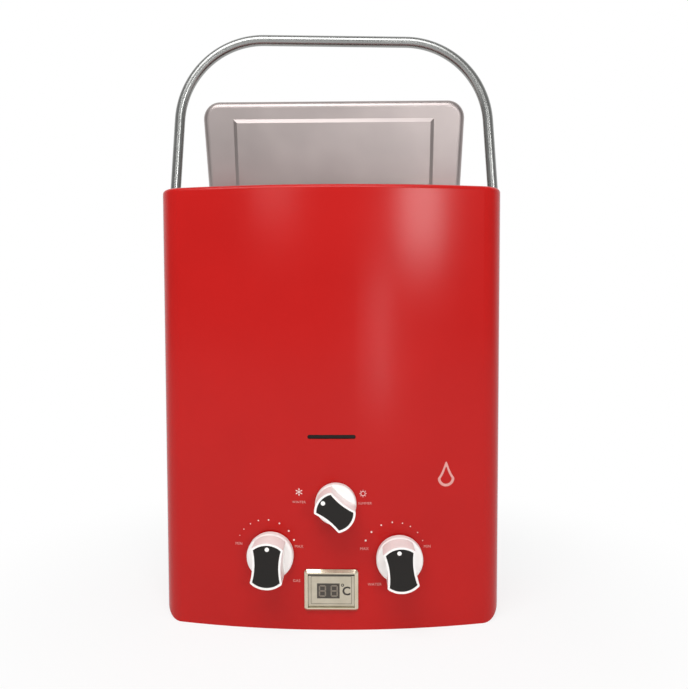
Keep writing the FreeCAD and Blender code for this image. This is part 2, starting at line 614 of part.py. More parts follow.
def hood_form(name, inset, y_back, thick, bottom):
    """The hood's tray shape with a rounded rim, upright on its hinge line."""
    gap = total(inset)
    owner = body(name)
    face = sketch(owner, name + "_line", "XZ", f"-({y_back})")
    base, top, high = dim.hood_base_half - gap, dim.hood_top_half - gap, dim.hood_length - gap
    corners = [Vector(-base, bottom, 0), Vector(base, bottom, 0), Vector(top, high, 0),
               Vector(-top, high, 0)]
    bend = dim.hood_corner - gap
    outline(face, corners, [0, 0, bend, bend])
    slab = grow(owner, "Pad", name + "_slab", face, thick)
    rim = " - ".join(["hood_bend", *inset])
    soften(owner, name + "_rim", slab, rim,
           lambda middle, box: box.YMax < slab.Shape.BoundBox.YMin + 0.01 and box.ZMax > bottom + 1)
    return owner


def hood_panel(name, lift):
    """The pressed panel: a shallow block with sloping sides, its large face at the back."""
    wedge = doc.addObject("Part::Wedge", name)
    tie(wedge, Xmin="panel_slope - panel_half", Xmax="panel_half - panel_slope",
        Zmin="panel_start + panel_slope", Zmax="panel_top - panel_slope",
        X2min="-panel_half", X2max="panel_half", Z2min="panel_start", Z2max="panel_top",
        Ymin=f"{lift} - panel_raise", Ymax=lift)
    return wedge


def hinge_parts(name, x, moving):
    """One leaf of a hood hinge, with its knuckles about the pin, at the origin of the hinge line."""
    spans = [("-knuckle_half", "knuckle_half")]
    if not moving:
        spans = [("-leaf_half", "-knuckle_half - side_gap"), ("knuckle_half + side_gap", "leaf_half")]
    parts = []
    for k, (low, high) in enumerate(spans):
        knuckle = doc.addObject("Part::Cylinder", f"{name}_knuckle_{k}")
        knuckle.Placement = Placement(Vector(), TURNS["x"])
        tie(knuckle, Radius="knuckle_radius", Height=f"({high}) - ({low})",
            Placement__Base__x=f"{x} + {low}")
        web = doc.addObject("Part::Box", f"{name}_web_{k}")
        tie(web, Length=f"({high}) - ({low})", Width="leaf_sheet", Placement__Base__x=f"{x} + {low}")
        if moving:
            tie(web, Height="knuckle_radius + side_gap + 1")
        else:
            tie(web, Height="hinge_rise", Placement__Base__y="knuckle_radius - leaf_sheet",
                Placement__Base__z="-hinge_rise")
        parts += [knuckle, web]
    plate = doc.addObject("Part::Box", f"{name}_plate")
    tie(plate, Length="2 * leaf_half", Placement__Base__x=f"{x} - leaf_half")
    if moving:
        tie(plate, Width="leaf_sheet", Height="leaf_length", Placement__Base__z="knuckle_radius + side_gap")
    else:
        tie(plate, Width="leaf_foot", Height="leaf_sheet", Placement__Base__y="knuckle_radius - leaf_foot",
            Placement__Base__z="-hinge_rise")
    bore = doc.addObject("Part::Cylinder", f"{name}_bore")
    bore.Placement = Placement(Vector(), TURNS["x"])
    tie(bore, Radius="pin_radius + run_gap", Height="4 * leaf_half",
        Placement__Base__x=f"{x} - 2 * leaf_half")
    return cut(name, join(name + "_solid", *parts, plate), bore)


def on_hinge(item, lean):
    """Sets a piece drawn about the hinge line onto the cover, leaning forward."""
    item.Placement = Placement(Vector(), Rotation(Vector(1, 0, 0), 1 if lean else 0))
    place(item, "0", "hinge_depth", "cover_height + hinge_rise")
    if lean:
        tie(item, Placement__Rotation__Angle="hood_lean")
    return item


def rain_hood():
    outer = hood_form("hood_outer", (), "hood_rim - hood_sheet", "hood_rim", dim.hood_start)
    inner = hood_form("hood_inner", ("hood_sheet",), "hood_rim", "hood_rim", -dim.cutter)
    solid = join("hood_raised", outer, hood_panel("panel_front", "-hood_sheet"))
    hollow = join("hood_hollow", inner, hood_panel("panel_back", "0"))
    node("rain_hood", on_hinge(cut("hood", solid, hollow), True))
    leaves, feet = [], []
    for side, x in (("left", "(-leaf_x)"), ("right", "leaf_x")):
        leaves.append(hinge_parts(f"leaf_{side}", x, True))
        feet.append(hinge_parts(f"foot_{side}", x, False))
    node("hood_leaves", on_hinge(group("moving_leaves", *leaves), True))
    node("hinge_leaves", on_hinge(group("fixed_leaves", *feet), False))
    pins = []
    for side, x in (("left", "(-leaf_x)"), ("right", "leaf_x")):
        at = ("hinge_depth", "cover_height + hinge_rise")
        ends = (f"({x} - leaf_half - rub_gap)", f"({x} + leaf_half + rub_gap)")
        shank = rod(f"pin_{side}", "x", "pin_radius", *ends, *at)
        heads = [rod(f"pin_{side}_head_{k}", "x", "pin_head_radius", low, high, *at) for k, (low, high) in
                 enumerate(((f"{ends[0]} - pin_head", ends[0]), (ends[1], f"{ends[1]} + pin_head")))]
        pins.append(join(f"hinge_pin_{side}", shank, *heads))
    node("hinge_pins", group("pins", *pins))


pivot = ("pivot_depth", "pivot_z")


def carry_handle():
    lean = math.tan(math.radians(dim.leg_lean))
    start = dim.pivot_z + dim.eye_radius + dim.eye_set
    left_top, right_top = dim.bar_height + dim.bar_skew / 2, dim.bar_height - dim.bar_skew / 2

    def leg(z):
        return dim.leg_side - (z - dim.leg_knee) * lean

    depth, foot, knee = dim.pivot_depth, dim.pivot_x, dim.leg_knee
    points = [(-foot, depth, start), (-leg(knee), depth, knee), (-leg(left_top), depth, left_top),
              (leg(right_top), depth, right_top), (leg(knee), depth, knee), (foot, depth, start)]
    bends = [0, dim.knee_bend, dim.handle_bend, dim.handle_bend, dim.knee_bend, 0]
    pipe = tube("handle_tube", points, bends, "tube_radius")
    eyes = []
    for side in ("left", "right"):
        sign = "-" if side == "left" else ""
        ends = (f"{sign}(pivot_x - eye_sheet / 2)", f"{sign}(pivot_x + eye_sheet / 2)")
        low, high = ends if side == "right" else ends[::-1]
        eyes.append(rod(f"eye_{side}", "x", "eye_radius", low, high, *pivot))
        eyes.append(block(f"tongue_{side}", (low, high), ("pivot_depth - tongue_width / 2",
                          "pivot_depth + tongue_width / 2"), ("pivot_z", "pivot_z + tongue_length")))
    bore = rod("eye_bore", "x", "bush_radius + run_gap", "-cover_width", "cover_width", *pivot)
    node("carry_handle", cut("handle", join("handle_solid", pipe, *eyes), bore))


def both_sides(label, name, item):
    node(label, group(name, item, mirrored(name + "_left", item)))


def handle_fittings():
    wall = "(cover_width / 2)"
    eye_in, eye_out = "(pivot_x - eye_sheet / 2)", "(pivot_x + eye_sheet / 2)"
    head = f"({eye_out} + fit_gap)"
    collar = rod("bush_collar", "x", "eye_radius - side_gap", f"{wall} + rub_gap", f"{eye_in} - rub_gap",
                 *pivot)
    sleeve = rod("bush_sleeve", "x", "bush_radius", f"{wall} + rub_gap", f"{head} - run_gap", *pivot)
    hole = rod("bush_hole", "x", "bolt_radius + run_gap", f"{wall} - cutter", f"{head} + cutter", *pivot)
    both_sides("handle_bushes", "bushes", cut("bush", join("bush_solid", collar, sleeve), hole))
    nut_start = f"({flange_side} - bracket_sheet - nut_height)"
    shank = rod("bolt_shank", "x", "bolt_radius", f"{nut_start} - socket_floor", head, *pivot)
    cap = rod("bolt_cap", "x", "bolt_head_radius", head, f"{head} + bolt_head", *pivot)
    socket = hexagon("bolt_socket", "x", "bolt_radius", f"{head} + socket_floor",
                     f"{head} + 2 * bolt_head", *pivot)
    both_sides("handle_bolts", "bolts", cut("bolt", join("bolt_solid", shank, cap), socket))
    nut = hexagon("weld_nut", "x", "nut_radius", nut_start, f"{nut_start} + nut_height", *pivot)
    strap = block("bracket_strap", (f"{flange_side} - bracket_sheet", flange_side),
                  ("pivot_depth - bracket_height / 2", plate_front),
                  ("pivot_z - bracket_height / 2", "pivot_z + bracket_height / 2"))
    boss = rod("bracket_boss", "x", "eye_radius + 1", flange_side, inner_side, *pivot)
    clear = rod("bracket_hole", "x", "bolt_radius + run_gap", f"{nut_start} - cutter", f"{wall} + cutter",
                *pivot)
    both_sides("handle_brackets", "brackets", cut("bracket", join("bracket_solid", strap, boss, nut), clear))


def grip_outline(drawing, length, width, waist, inset):
    """An hourglass: ends on a circle about the axis, sides drawn in to the waist."""
    reach, half, neck = length / 2 - inset, width / 2 - inset, waist / 2 - inset
    rise = math.sqrt(reach ** 2 - half ** 2)
    corners = [Vector(half, rise, 0), Vector(-half, rise, 0), Vector(-half, -rise, 0),
               Vector(half, -rise, 0)]
    mids = [Vector(0, reach, 0), Vector(-neck, 0, 0), Vector(0, -reach, 0), Vector(neck, 0, 0)]
    drawing.addGeometry([Part.Arc(corner, mids[k], corners[(k + 1) % 4]) for k,
                         corner in enumerate(corners)])


def disc_back(name):
    """The plane of a knob's back, a gap in front of the nearest part of the bowed cover."""
    if name == "season":
        return "(-knob_gap)"
    side = f"abs({name}_x) - disc_radius"
    return f"({sagitta(side)} - knob_gap)"


def knob(name):
    sizes = knobs[name]
    length, width, waist = (getattr(dim, sizes[key]) for key in ("length", "width", "waist"))
    radius = getattr(dim, sizes["radius"])
    owner = body(f"{name}_knob_body")
    disc = sketch(owner, f"{name}_disc_line", "XZ")
    circle(disc, sizes["radius"])
    skirt = grow(owner, "Pad", f"{name}_disc", disc, "disc_depth")
    edge = soften(owner, f"{name}_disc_edge", skirt, "disc_edge",
                  lambda middle, box: box.YMax < 0.01 - dim.disc_depth)
    raised = sketch(owner, f"{name}_grip_line", "XZ", "disc_depth")
    grip_outline(raised, length, width, waist, 0)
    grip = grow(owner, "Pad", f"{name}_grip", raised, "grip_height")
    corner_z = math.sqrt((length / 2) ** 2 - (width / 2) ** 2)
    soften(owner, f"{name}_grip_corners", grip, "grip_corner",
           lambda middle, box: box.YLength > dim.grip_height - 1 and abs(abs(middle.x) - width / 2) < 0.1
           and abs(abs(middle.z) - corner_z) < 0.1)
    face = "disc_depth + grip_height"
    recess = sketch(owner, f"{name}_recess_line", "XZ", face)
    grip_outline(recess, length, width, waist, dim.inlay_rim)
    grow(owner, "Pocket", f"{name}_recess", recess, "inlay_recess")
    hollow = sketch(owner, f"{name}_hollow_line", "XZ")
    circle(hollow, f"{sizes['radius']} - knob_wall")
    circle(hollow, "hub_radius")
    grow(owner, "Pocket", f"{name}_hollow", hollow, "disc_depth - knob_wall", Reversed=True)
    bore = sketch(owner, f"{name}_bore_line", "XZ")
    circle(bore, "spindle_radius + run_gap")
    grow(owner, "Pocket", f"{name}_bore", bore, "spindle_grip + 1", Reversed=True)
    notch = sketch(owner, f"{name}_notch_line", "XZ")
    side, deep = dim.notch_width / 2, dim.notch_depth - radius
    outline(notch, [Vector(-side, -radius - 1, 0), Vector(side, -radius - 1, 0), Vector(side, deep, 0),
                    Vector(-side, deep, 0)], [0] * 4)
    grow(owner, "Pocket", f"{name}_notch", notch, "disc_depth + 1", Reversed=True)
    node(f"{name}_knob", on_spindle(owner, name))
    insert = body(f"{name}_inlay_body")
    plate = sketch(insert, f"{name}_inlay_line", "XZ", f"{face} - inlay_recess")
    grip_outline(plate, length, width, waist, dim.inlay_rim + dim.inlay_gap)
    grow(insert, "Pad", f"{name}_inlay_plate", plate, "inlay_sheet")
    node(f"{name}_inlay", on_spindle(insert, name))
    end = "(boss_front + spindle_reach)"
    node(f"{name}_spindle", rod(f"{name}_spindle_rod", "y", "spindle_radius",
                                f"{disc_back(name)} - spindle_grip", end, f"{name}_x", f"{name}_z"))


def on_spindle(item, name):
    """Sets a knob piece on its spindle, turned to where it points."""
    item.Placement = Placement(Vector(), Rotation(Vector(0, 1, 0), 1))
    place(item, f"{name}_x", disc_back(name), f"{name}_z")
    tie(item, Placement__Rotation__Angle=f"{name}_turn")
    return item


def spindle_boss(name, valve_front):
    """The boss that carries a spindle, and the bore cut in it."""
    at = (f"{name}_x", f"{name}_z")
    return (rod(f"{name}_boss", "y", "boss_radius", "boss_front", valve_front, *at),
            rod(f"{name}_boss_bore", "y", "spindle_radius + run_gap", "boss_front - 1",
                "boss_front + boss_bore", *at))


rod_line = ("fitting_depth", "diaphragm_z")
flange_left = "(water_body_left - flange_sheet)"
cover_right = f"({flange_left} - diaphragm_sheet)"
cover_left = f"({cover_right} - diaphragm_cover)"


def ring_of_screws(name, radius, start, end):
    """Four rods along X about the diaphragm's axis."""
    rods = []
    for k in range(4):
        turn = f"{45 + 90 * k} deg"
        rods.append(rod(f"{name}_{k}", "x", radius, start, end,
                        f"fitting_depth + valve_screw_ring * cos({turn})",
                        f"diaphragm_z + valve_screw_ring * sin({turn})"))
    return rods


def water_valve():
    boss, bore = spindle_boss("water", "valve_depth + 1")
    main = block("water_block", ("water_body_left", "water_body_right"), ("valve_depth", "valve_rear"),
                 ("valve_floor", "valve_roof"))
    flange = rod("water_flange", "x", "diaphragm_radius", flange_left, "water_body_left + 1", *rod_line)
    arm = rod("drain_arm", "x", "drain_radius + 1", "water_body_right - 1", "drain_x",
              "fitting_depth", "valve_floor + port_depth")
    elbow = rod("drain_elbow", "z", "drain_radius + 1", "valve_floor + dish_sheet",
                "valve_floor + port_depth + drain_radius", "drain_x", "fitting_depth")
    bores = [
        bore,
        rod("water_in_bore", "z", "fitting_bore", "valve_floor - cutter", "valve_floor + port_depth",
            "water_x",
            "fitting_depth"),
        rod("water_out_bore", "z", "pipe_radius - pipe_wall", "valve_roof - port_depth",
            "valve_roof + cutter",
            "cold_x",
            "cold_depth"),
        rod("chamber_bore", "x", "diaphragm_radius - flange_rim", f"{flange_left} - 1",
            "water_body_left - 1",
            *rod_line),
        *ring_of_screws("flange_thread", "screw_radius", f"{flange_left} - 1",
                        "water_body_left + flange_sheet + 1"),
    ]
    node("water_valve_body", cut("water_valve", join("water_valve_solid", boss, main, flange, arm, elbow),
                                 *bores))
    sheet_disc = rod("diaphragm_disc", "x", "diaphragm_radius", cover_right, flange_left, *rod_line)
    holes = ring_of_screws("diaphragm_hole", "screw_radius", f"{cover_right} - 1", f"{flange_left} + 1")
    node("diaphragm", cut("rubber_diaphragm", sheet_disc, *holes))
    dish = rod("dish_out", "x", "diaphragm_radius", cover_left, cover_right, *rod_line)
    room = rod("dish_in", "x", "diaphragm_radius - flange_rim", f"{cover_left} + dish_sheet",
               f"{cover_right} + 1",
               *rod_line)
    guide = rod("dish_neck", "x", "rod_radius + guide_wall", f"{cover_left} - dish_guide",
                f"{cover_left} + dish_sheet", *rod_line)
    guide_bore = rod("dish_bore", "x", "rod_radius + run_gap", f"{cover_left} - 2 * dish_guide",
                     f"{cover_left} + 2 * dish_sheet", *rod_line)
    holes = ring_of_screws("dish_hole", "screw_radius", f"{cover_left} - 1", f"{cover_right} + 1")
    node("diaphragm_cover", cut("dish", join("dish_with_guide", cut("dish_shell", dish, room), guide),
                                guide_bore, *holes))
    shanks = ring_of_screws("valve_shank", "screw_radius", cover_left, "water_body_left + flange_sheet")
    heads = ring_of_screws("valve_head", "screw_head_radius", f"{cover_left} - screw_head", cover_left)
    node("valve_screws", group("flange_screws", *[join(f"flange_screw_{k}", shank, head)
                                                  for k, (shank, head) in enumerate(zip(shanks, heads))]))


def push_rod():
    collar = f"({switch_face} + plunger_rise + fit_gap)"
    end = f"({cover_right} - fit_gap)"
    shaft = rod("rod_shaft", "x", "rod_radius", "gas_body_right - rod_seat", end, *rod_line)
    plate = rod("rod_disc", "x", "rod_plate_radius", f"{end} - rod_plate", end, *rod_line)
    disc = rod("rod_collar", "x", "collar_radius", collar, f"{collar} + collar_sheet", *rod_line)
    node("push_rod", join("rod_assembly", shaft, plate, disc))
    plunger = rod("plunger", "x", "plunger_radius", f"{switch_face} - plunger_seat",
                  f"{switch_face} + plunger_rise", *switch_line)
    node("switch_plunger", plunger)


switch_face = "(gas_body_right + switch_length)"
switch_line = ("(fitting_depth + switch_offset)", "diaphragm_z")


def microswitch():
    centre, low = switch_line[0], "(diaphragm_z - switch_height / 2)"
    case = block("switch_case", ("gas_body_right", switch_face),
                 (f"{centre} - switch_depth / 2", f"{centre} + switch_depth / 2"),
                 (low, "diaphragm_z + switch_height / 2"))
    tags = []
    for k in (1, 2):
        x = f"(gas_body_right + {k} * switch_length / 3)"
        tags.append(block(f"switch_tag_{k}", (x, f"{x} + tag_sheet"),
                          (f"{centre} - tag_half", f"{centre} + tag_half"),
                          (f"{low} - tag_length", low)))
    bore = rod("switch_bore", "x", "plunger_radius + run_gap",
               f"{switch_face} - plunger_seat - rod_travel - 1", f"{switch_face} + 1", *switch_line)
    node("microswitch", cut("switch", join("switch_solid", case, *tags), bore))


def gas_valve():
    boss, bore = spindle_boss("gas", "valve_depth + 1")
    main = block("gas_block", ("gas_body_left", "gas_body_right"), ("valve_depth", "valve_rear"),
                 ("valve_floor", "valve_roof"))
    bores = [
        bore,
        rod("gas_in_bore", "z", "fitting_bore - 1", "valve_floor - cutter", "valve_floor + port_depth",
            "gas_x",
            "fitting_depth"),
        rod("gas_out_bore", "z", "riser_radius - 1", "valve_roof - port_depth", "valve_roof + cutter",
            "riser_x",
            "riser_depth"),
        rod("rod_bore", "x", "rod_radius + run_gap", "gas_body_right - rod_seat - rod_travel - 2",
            "gas_body_right + cutter", *rod_line),
    ]
    node("gas_valve_body", cut("gas_valve", join("gas_valve_solid", boss, main), *bores))
    can = rod("solenoid_can", "x", "solenoid_radius", "gas_body_left - solenoid_length", "gas_body_left",
              *rod_line)
    cap = rod("solenoid_end", "x", "2 * solenoid_radius / 3",
              "gas_body_left - solenoid_length - solenoid_cap",
              "gas_body_left - solenoid_length", *rod_line)
    node("solenoid_valve", join("solenoid", can, cap))


def fitting(label, thread, x, depth, roof):
    """A threaded connection hanging below its valve, with a hexagon above the thread."""
    shoulder = "(thread_start + thread_length)"
    shank = rod(f"{label}_thread", "z", thread, "thread_start", shoulder, x, depth)
    flats = hexagon(f"{label}_hex", "z", f"{thread} + hex_rim", shoulder, f"{shoulder} + hex_height", x,
                    depth)
    neck = rod(f"{label}_neck", "z", f"{thread} - 1", f"{shoulder} + hex_height - 1", roof, x, depth)
    bore = rod(f"{label}_bore", "z", "fitting_bore", "thread_start - 1", f"{roof} + 1", x, depth)
    node(label, cut(f"{label}_turned", join(f"{label}_solid", shank, flats, neck), bore))


def fittings():
    fitting("water_inlet_fitting", "thread_radius", "water_x", "fitting_depth", "valve_floor")
    fitting("gas_inlet_fitting", "gas_thread_radius", "gas_x", "fitting_depth", "valve_floor")
    fitting("hot_outlet_fitting", "thread_radius", "hot_x", "hot_depth", "valve_floor")
    stem = rod("drain_stem", "z", "drain_radius", "thread_start + drain_knurl", "valve_floor + dish_sheet",
               "drain_x", "fitting_depth")
    cap = rod("drain_head", "z", "drain_cap", "thread_start", "thread_start + drain_knurl", "drain_x",
              "fitting_depth")
    node("drain_plug", join("drain", stem, cap))


def valve_bracket():
    arms = [block(f"bracket_arm_{k}", (f"{x} - arm_half", f"{x} + arm_half"), ("valve_rear", plate_front),
                  ("diaphragm_z - arm_sheet", "diaphragm_z")) for k, x in enumerate(("gas_x", "water_x"))]
    tie_plate = block("bracket_base", ("gas_x - 2 * arm_half", "water_x + 2 * arm_half"),
                      (f"{plate_front} - bracket_plate", plate_front),
                      ("diaphragm_z - 3 * arm_sheet", "diaphragm_z + 2 * arm_sheet"))
    node("valve_bracket", join("bracket_for_valves", *arms, tie_plate))


def season_valve():
    boss, bore = spindle_boss("season", "season_front + 1")
    main = block("season_block", ("season_x - season_half", "season_x + season_half"),
                 ("season_front", "season_rear"), ("season_z - season_drop", "burner_floor - side_gap"))
    feed = block("season_feed", ("season_x - feed_half", "season_x + feed_half"),
                 (f"{manifold_front} + manifold_wall", "chamber_front - side_gap"),
                 ("season_z", manifold_floor))
    side = rod("season_in_bore", "x", "riser_radius - 1", "season_x - season_half - 1",
               "season_x - season_half / 2",
               "riser_depth", "season_z")
    node("season_valve_body", cut("season_valve", join("season_solid", boss, main, feed), bore, side))


manifold_front = "(chamber_front + nozzle_entry - nozzle_length - manifold_depth)"
manifold_floor = "(nozzle_z - manifold_height / 2)"


def bar_x(number):
    return f"(({number} - (bar_count - 1) / 2) * bar_pitch)"


def burner():
    count = int(dim.bar_count)
    rear = f"({manifold_front} + manifold_depth)"
    ends = (f"({bar_x(0)} - manifold_end)", f"({bar_x(count - 1)} + manifold_end)")
    pipe = block("manifold_bar", ends, (manifold_front, rear),
                 (manifold_floor, f"{manifold_floor} + manifold_height"))
    inside = rod("manifold_bore", "x", "manifold_depth / 3", f"{ends[0]} + 2 * manifold_wall",
                 f"{ends[1]} - 2 * manifold_wall", f"{manifold_front} + manifold_depth / 2", "nozzle_z")
    feed = rod("manifold_feed", "z", "manifold_depth / 3", f"{manifold_floor} - 1", "nozzle_z", "season_x",
               f"{manifold_front} + manifold_depth / 2")
    lugs = [block(f"manifold_lug_{k}", (f"{x} - lug_half", f"{x} + lug_half"),
                  (f"{rear} - 1", "chamber_front"),
                  ("nozzle_z - lug_half", "nozzle_z + lug_half")) for k,
                  x in enumerate(("(-lug_x)", "lug_x"))]
    node("gas_manifold", cut("manifold", join("manifold_solid", pipe, *lugs), inside, feed))
    jets, bars, wall_holes = [], [], []
    for k in range(count):
        x = bar_x(k)
        jet = rod(f"jet_{k}", "y", "nozzle_radius", rear, f"{rear} + nozzle_length", x, "nozzle_z")
        hole = rod(f"jet_hole_{k}", "y", "jet_radius", f"{rear} - 1", f"{rear} + nozzle_length + 1", x,
                   "nozzle_z")
        jets.append(cut(f"nozzle_{k}", jet, hole))
        wall_holes.append(rod(f"wall_hole_{k}", "y", "nozzle_radius + fit_gap", "chamber_front - 2",
                              "chamber_front + chamber_sheet + 1", x, "nozzle_z"))
        blade = block(f"blade_{k}", (f"{x} - bar_width / 2", f"{x} + bar_width / 2"),
                      ("chamber_front + chamber_sheet + bar_gap", "chamber_rear - chamber_sheet - bar_gap"),
                      ("bar_floor", "bar_top"))
        throat = rod(f"throat_{k}", "y", "nozzle_radius + 1", "chamber_front",
                     "chamber_front + throat_length", x,
                     "nozzle_z")
        ports = block(f"ports_{k}", (f"{x} - port_slot / 2", f"{x} + port_slot / 2"),
                      ("chamber_front + bar_width", "chamber_rear - bar_width"),
                      ("bar_top - bar_width / 2", "bar_top + 1"))
        bars.append(cut(f"burner_bar_{k}", blade, throat, ports))
    node("gas_nozzles", group("nozzles", *jets))
    node("burner_bars", group("bars", *bars))
    outer = block("burner_out", ("-chamber_half", "chamber_half"), ("chamber_front", "chamber_rear"),
                  ("burner_floor", "burner_top"))
    inner = block("burner_in", ("chamber_sheet - chamber_half", "chamber_half - chamber_sheet"),
                  ("chamber_front + chamber_sheet", "chamber_rear - chamber_sheet"),
                  ("burner_floor - 1", "burner_top + 1"))
    rails = [block(f"rail_{k}", ("chamber_sheet / 2 - chamber_half", "chamber_half - chamber_sheet / 2"),
                   span, ("bar_floor - chamber_sheet", "bar_floor")) for k, span in
             enumerate((("chamber_front + chamber_sheet / 2", "chamber_front + chamber_sheet + rail_width"),
                        ("chamber_rear - chamber_sheet - rail_width", "chamber_rear - chamber_sheet / 2")))]
    arms = [block(f"burner_arm_{k}", span, ("chamber_rear - chamber_sheet", plate_front),
                  ("burner_floor + rail_width", "burner_top - rail_width")) for k, span in
            enumerate((("-chamber_half", "chamber_sheet - chamber_half"),
                       ("chamber_half - chamber_sheet", "chamber_half")))]
    view = block("view_slot", ("window_x - window_length / 2", "window_x + window_length / 2"),
                 ("chamber_front - 2", "chamber_front + chamber_sheet + 1"),
                 ("window_height - window_gap", "window_height + window_gap"))
    ports = [rod(f"{name}_port", "y", "ceramic_radius + fit_gap", "chamber_front - 2",
                 "chamber_front + chamber_sheet + 1", f"{name}_x",
                 "rod_z") for name in ("electrode", "sensor")]
    shell = cut("burner_shell", outer, inner)
    node("burner_frame", cut("burner_box", join("burner_with_rails", shell, *rails, *arms), view, *ports,
                             *wall_holes))


def round_cornered(name, half, near, far, bend, low, high):
    """An upright block with rounded corners, from sizes in numbers and bound heights."""
    owner = body(name)
    place(owner, "0", "0", low)
    plan = sketch(owner, name + "_line", "XY")
    outline(plan, [Vector(-half, near, 0), Vector(half, near, 0), Vector(half, far, 0),
                   Vector(-half, far, 0)],
            [bend] * 4)
    grow(owner, "Pad", name + "_rise", plan, f"({high}) - ({low})")
    return owner


def heat_exchanger():
    half, near, far, wall = dim.chamber_half, dim.chamber_front, dim.chamber_rear, dim.chamber_sheet
    bend = dim.chamber_corner
    outer = round_cornered("chamber_out", half, near, far, bend, "burner_top", "chamber_top")
    inner = round_cornered("chamber_in", half - wall, near + wall, far - wall, bend - wall, "burner_top - 1",
                           "chamber_top + 1")
    stays = [block(f"stay_{k}", span, ("chamber_rear - chamber_sheet", plate_front),
                   ("chamber_top - stay_height", "chamber_top - stay_sheet")) for k, span in
             enumerate((("-stay_x", "stay_sheet - stay_x"), ("stay_x - stay_sheet", "stay_x")))]
    ports = [rod("hot_port_hole", "x", "pipe_radius + port_gap", "-chamber_half - cutter",
                 "cutter - chamber_half",
                 "hot_depth",
                 "hot_z"),
             rod("cold_port_hole", "x", "pipe_radius + port_gap", "chamber_half - cutter",
                 "chamber_half + cutter",
                 "cold_depth", "hot_z")]
    node("combustion_chamber", cut("chamber", join("chamber_with_stays", cut("chamber_shell", outer,
                                                                             inner), *stays),
                                   *ports))
    fins = []
    count = int((2 * (half - bend)) / dim.fin_pitch) + 1
    for k in range(count):
        x = f"(({k} - {(count - 1) / 2}) * fin_pitch)"
        fins.append(block(f"fin_{k}", (f"{x} - fin_sheet / 2", f"{x} + fin_sheet / 2"),
                          ("chamber_front + chamber_sheet + bar_gap",
                           "chamber_rear - chamber_sheet - bar_gap"),
                          ("fins_floor", "fins_top")))
    tubes = [rod(f"fin_tube_{k}", "x", "fin_tube", "chamber_sheet + pipe_entry - chamber_half",
                 "chamber_half - chamber_sheet - pipe_entry", f"cold_depth + {k - 1} * tube_offset",
                 "hot_z") for k in range(3)]
    node("fin_block", join("fins", *fins, *tubes))


def flue_collector():
    half, near, far, wall = dim.chamber_half, dim.chamber_front, dim.chamber_rear, dim.chamber_sheet
    gap = dim.flue_gap
    lip = (dim.outlet_half_width + gap, dim.outlet_front - gap, dim.outlet_rear + gap)
    low, high = dim.chamber_top, dim.cover_height - dim.grille_lip - dim.flue_lap

    def ring(grown, z, sizes, bend):
        half_x, first, last = sizes[0] + grown, sizes[1] - grown, sizes[2] + grown
        corners = [Vector(-half_x, first + front_y, z), Vector(half_x, first + front_y, z),
                   Vector(half_x, last + front_y, z), Vector(-half_x, last + front_y, z)]
        return Part.Wire([curve.toShape() for curve in bent_line(corners, [bend] * 4, closed=True)])

    base = (half - wall, near + wall, far - wall)
    outer = Part.makeLoft([ring(wall, low, base, 12), ring(wall, high, lip, 4)], True, True)
    inner = Part.makeLoft([ring(0, low, base, 11), ring(0, high, lip, 3)], True, True)
    cone = doc.addObject("Part::Feature", "flue_cone")
    cone.Shape = outer.cut(inner)
    roof = "(cover_height - cover_sheet - fit_gap)"
    floor = "(cover_height - grille_lip - flue_lap)"
    inner_half, grown = "(outlet_half_width + flue_gap)", "(flue_gap + chamber_sheet)"
    collar = cut("flue_collar",
                 block("collar_out", (f"-{inner_half} - chamber_sheet", f"{inner_half} + chamber_sheet"),
                       (f"outlet_front - {grown}", f"outlet_rear + {grown}"), (floor, roof)),
                 block("collar_in", (f"-{inner_half}", inner_half),
                       ("outlet_front - flue_gap", "outlet_rear + flue_gap"),
                       (f"{floor} - 1", f"{roof} + 1")))
    node("flue_collector", join("flue", cone, collar))


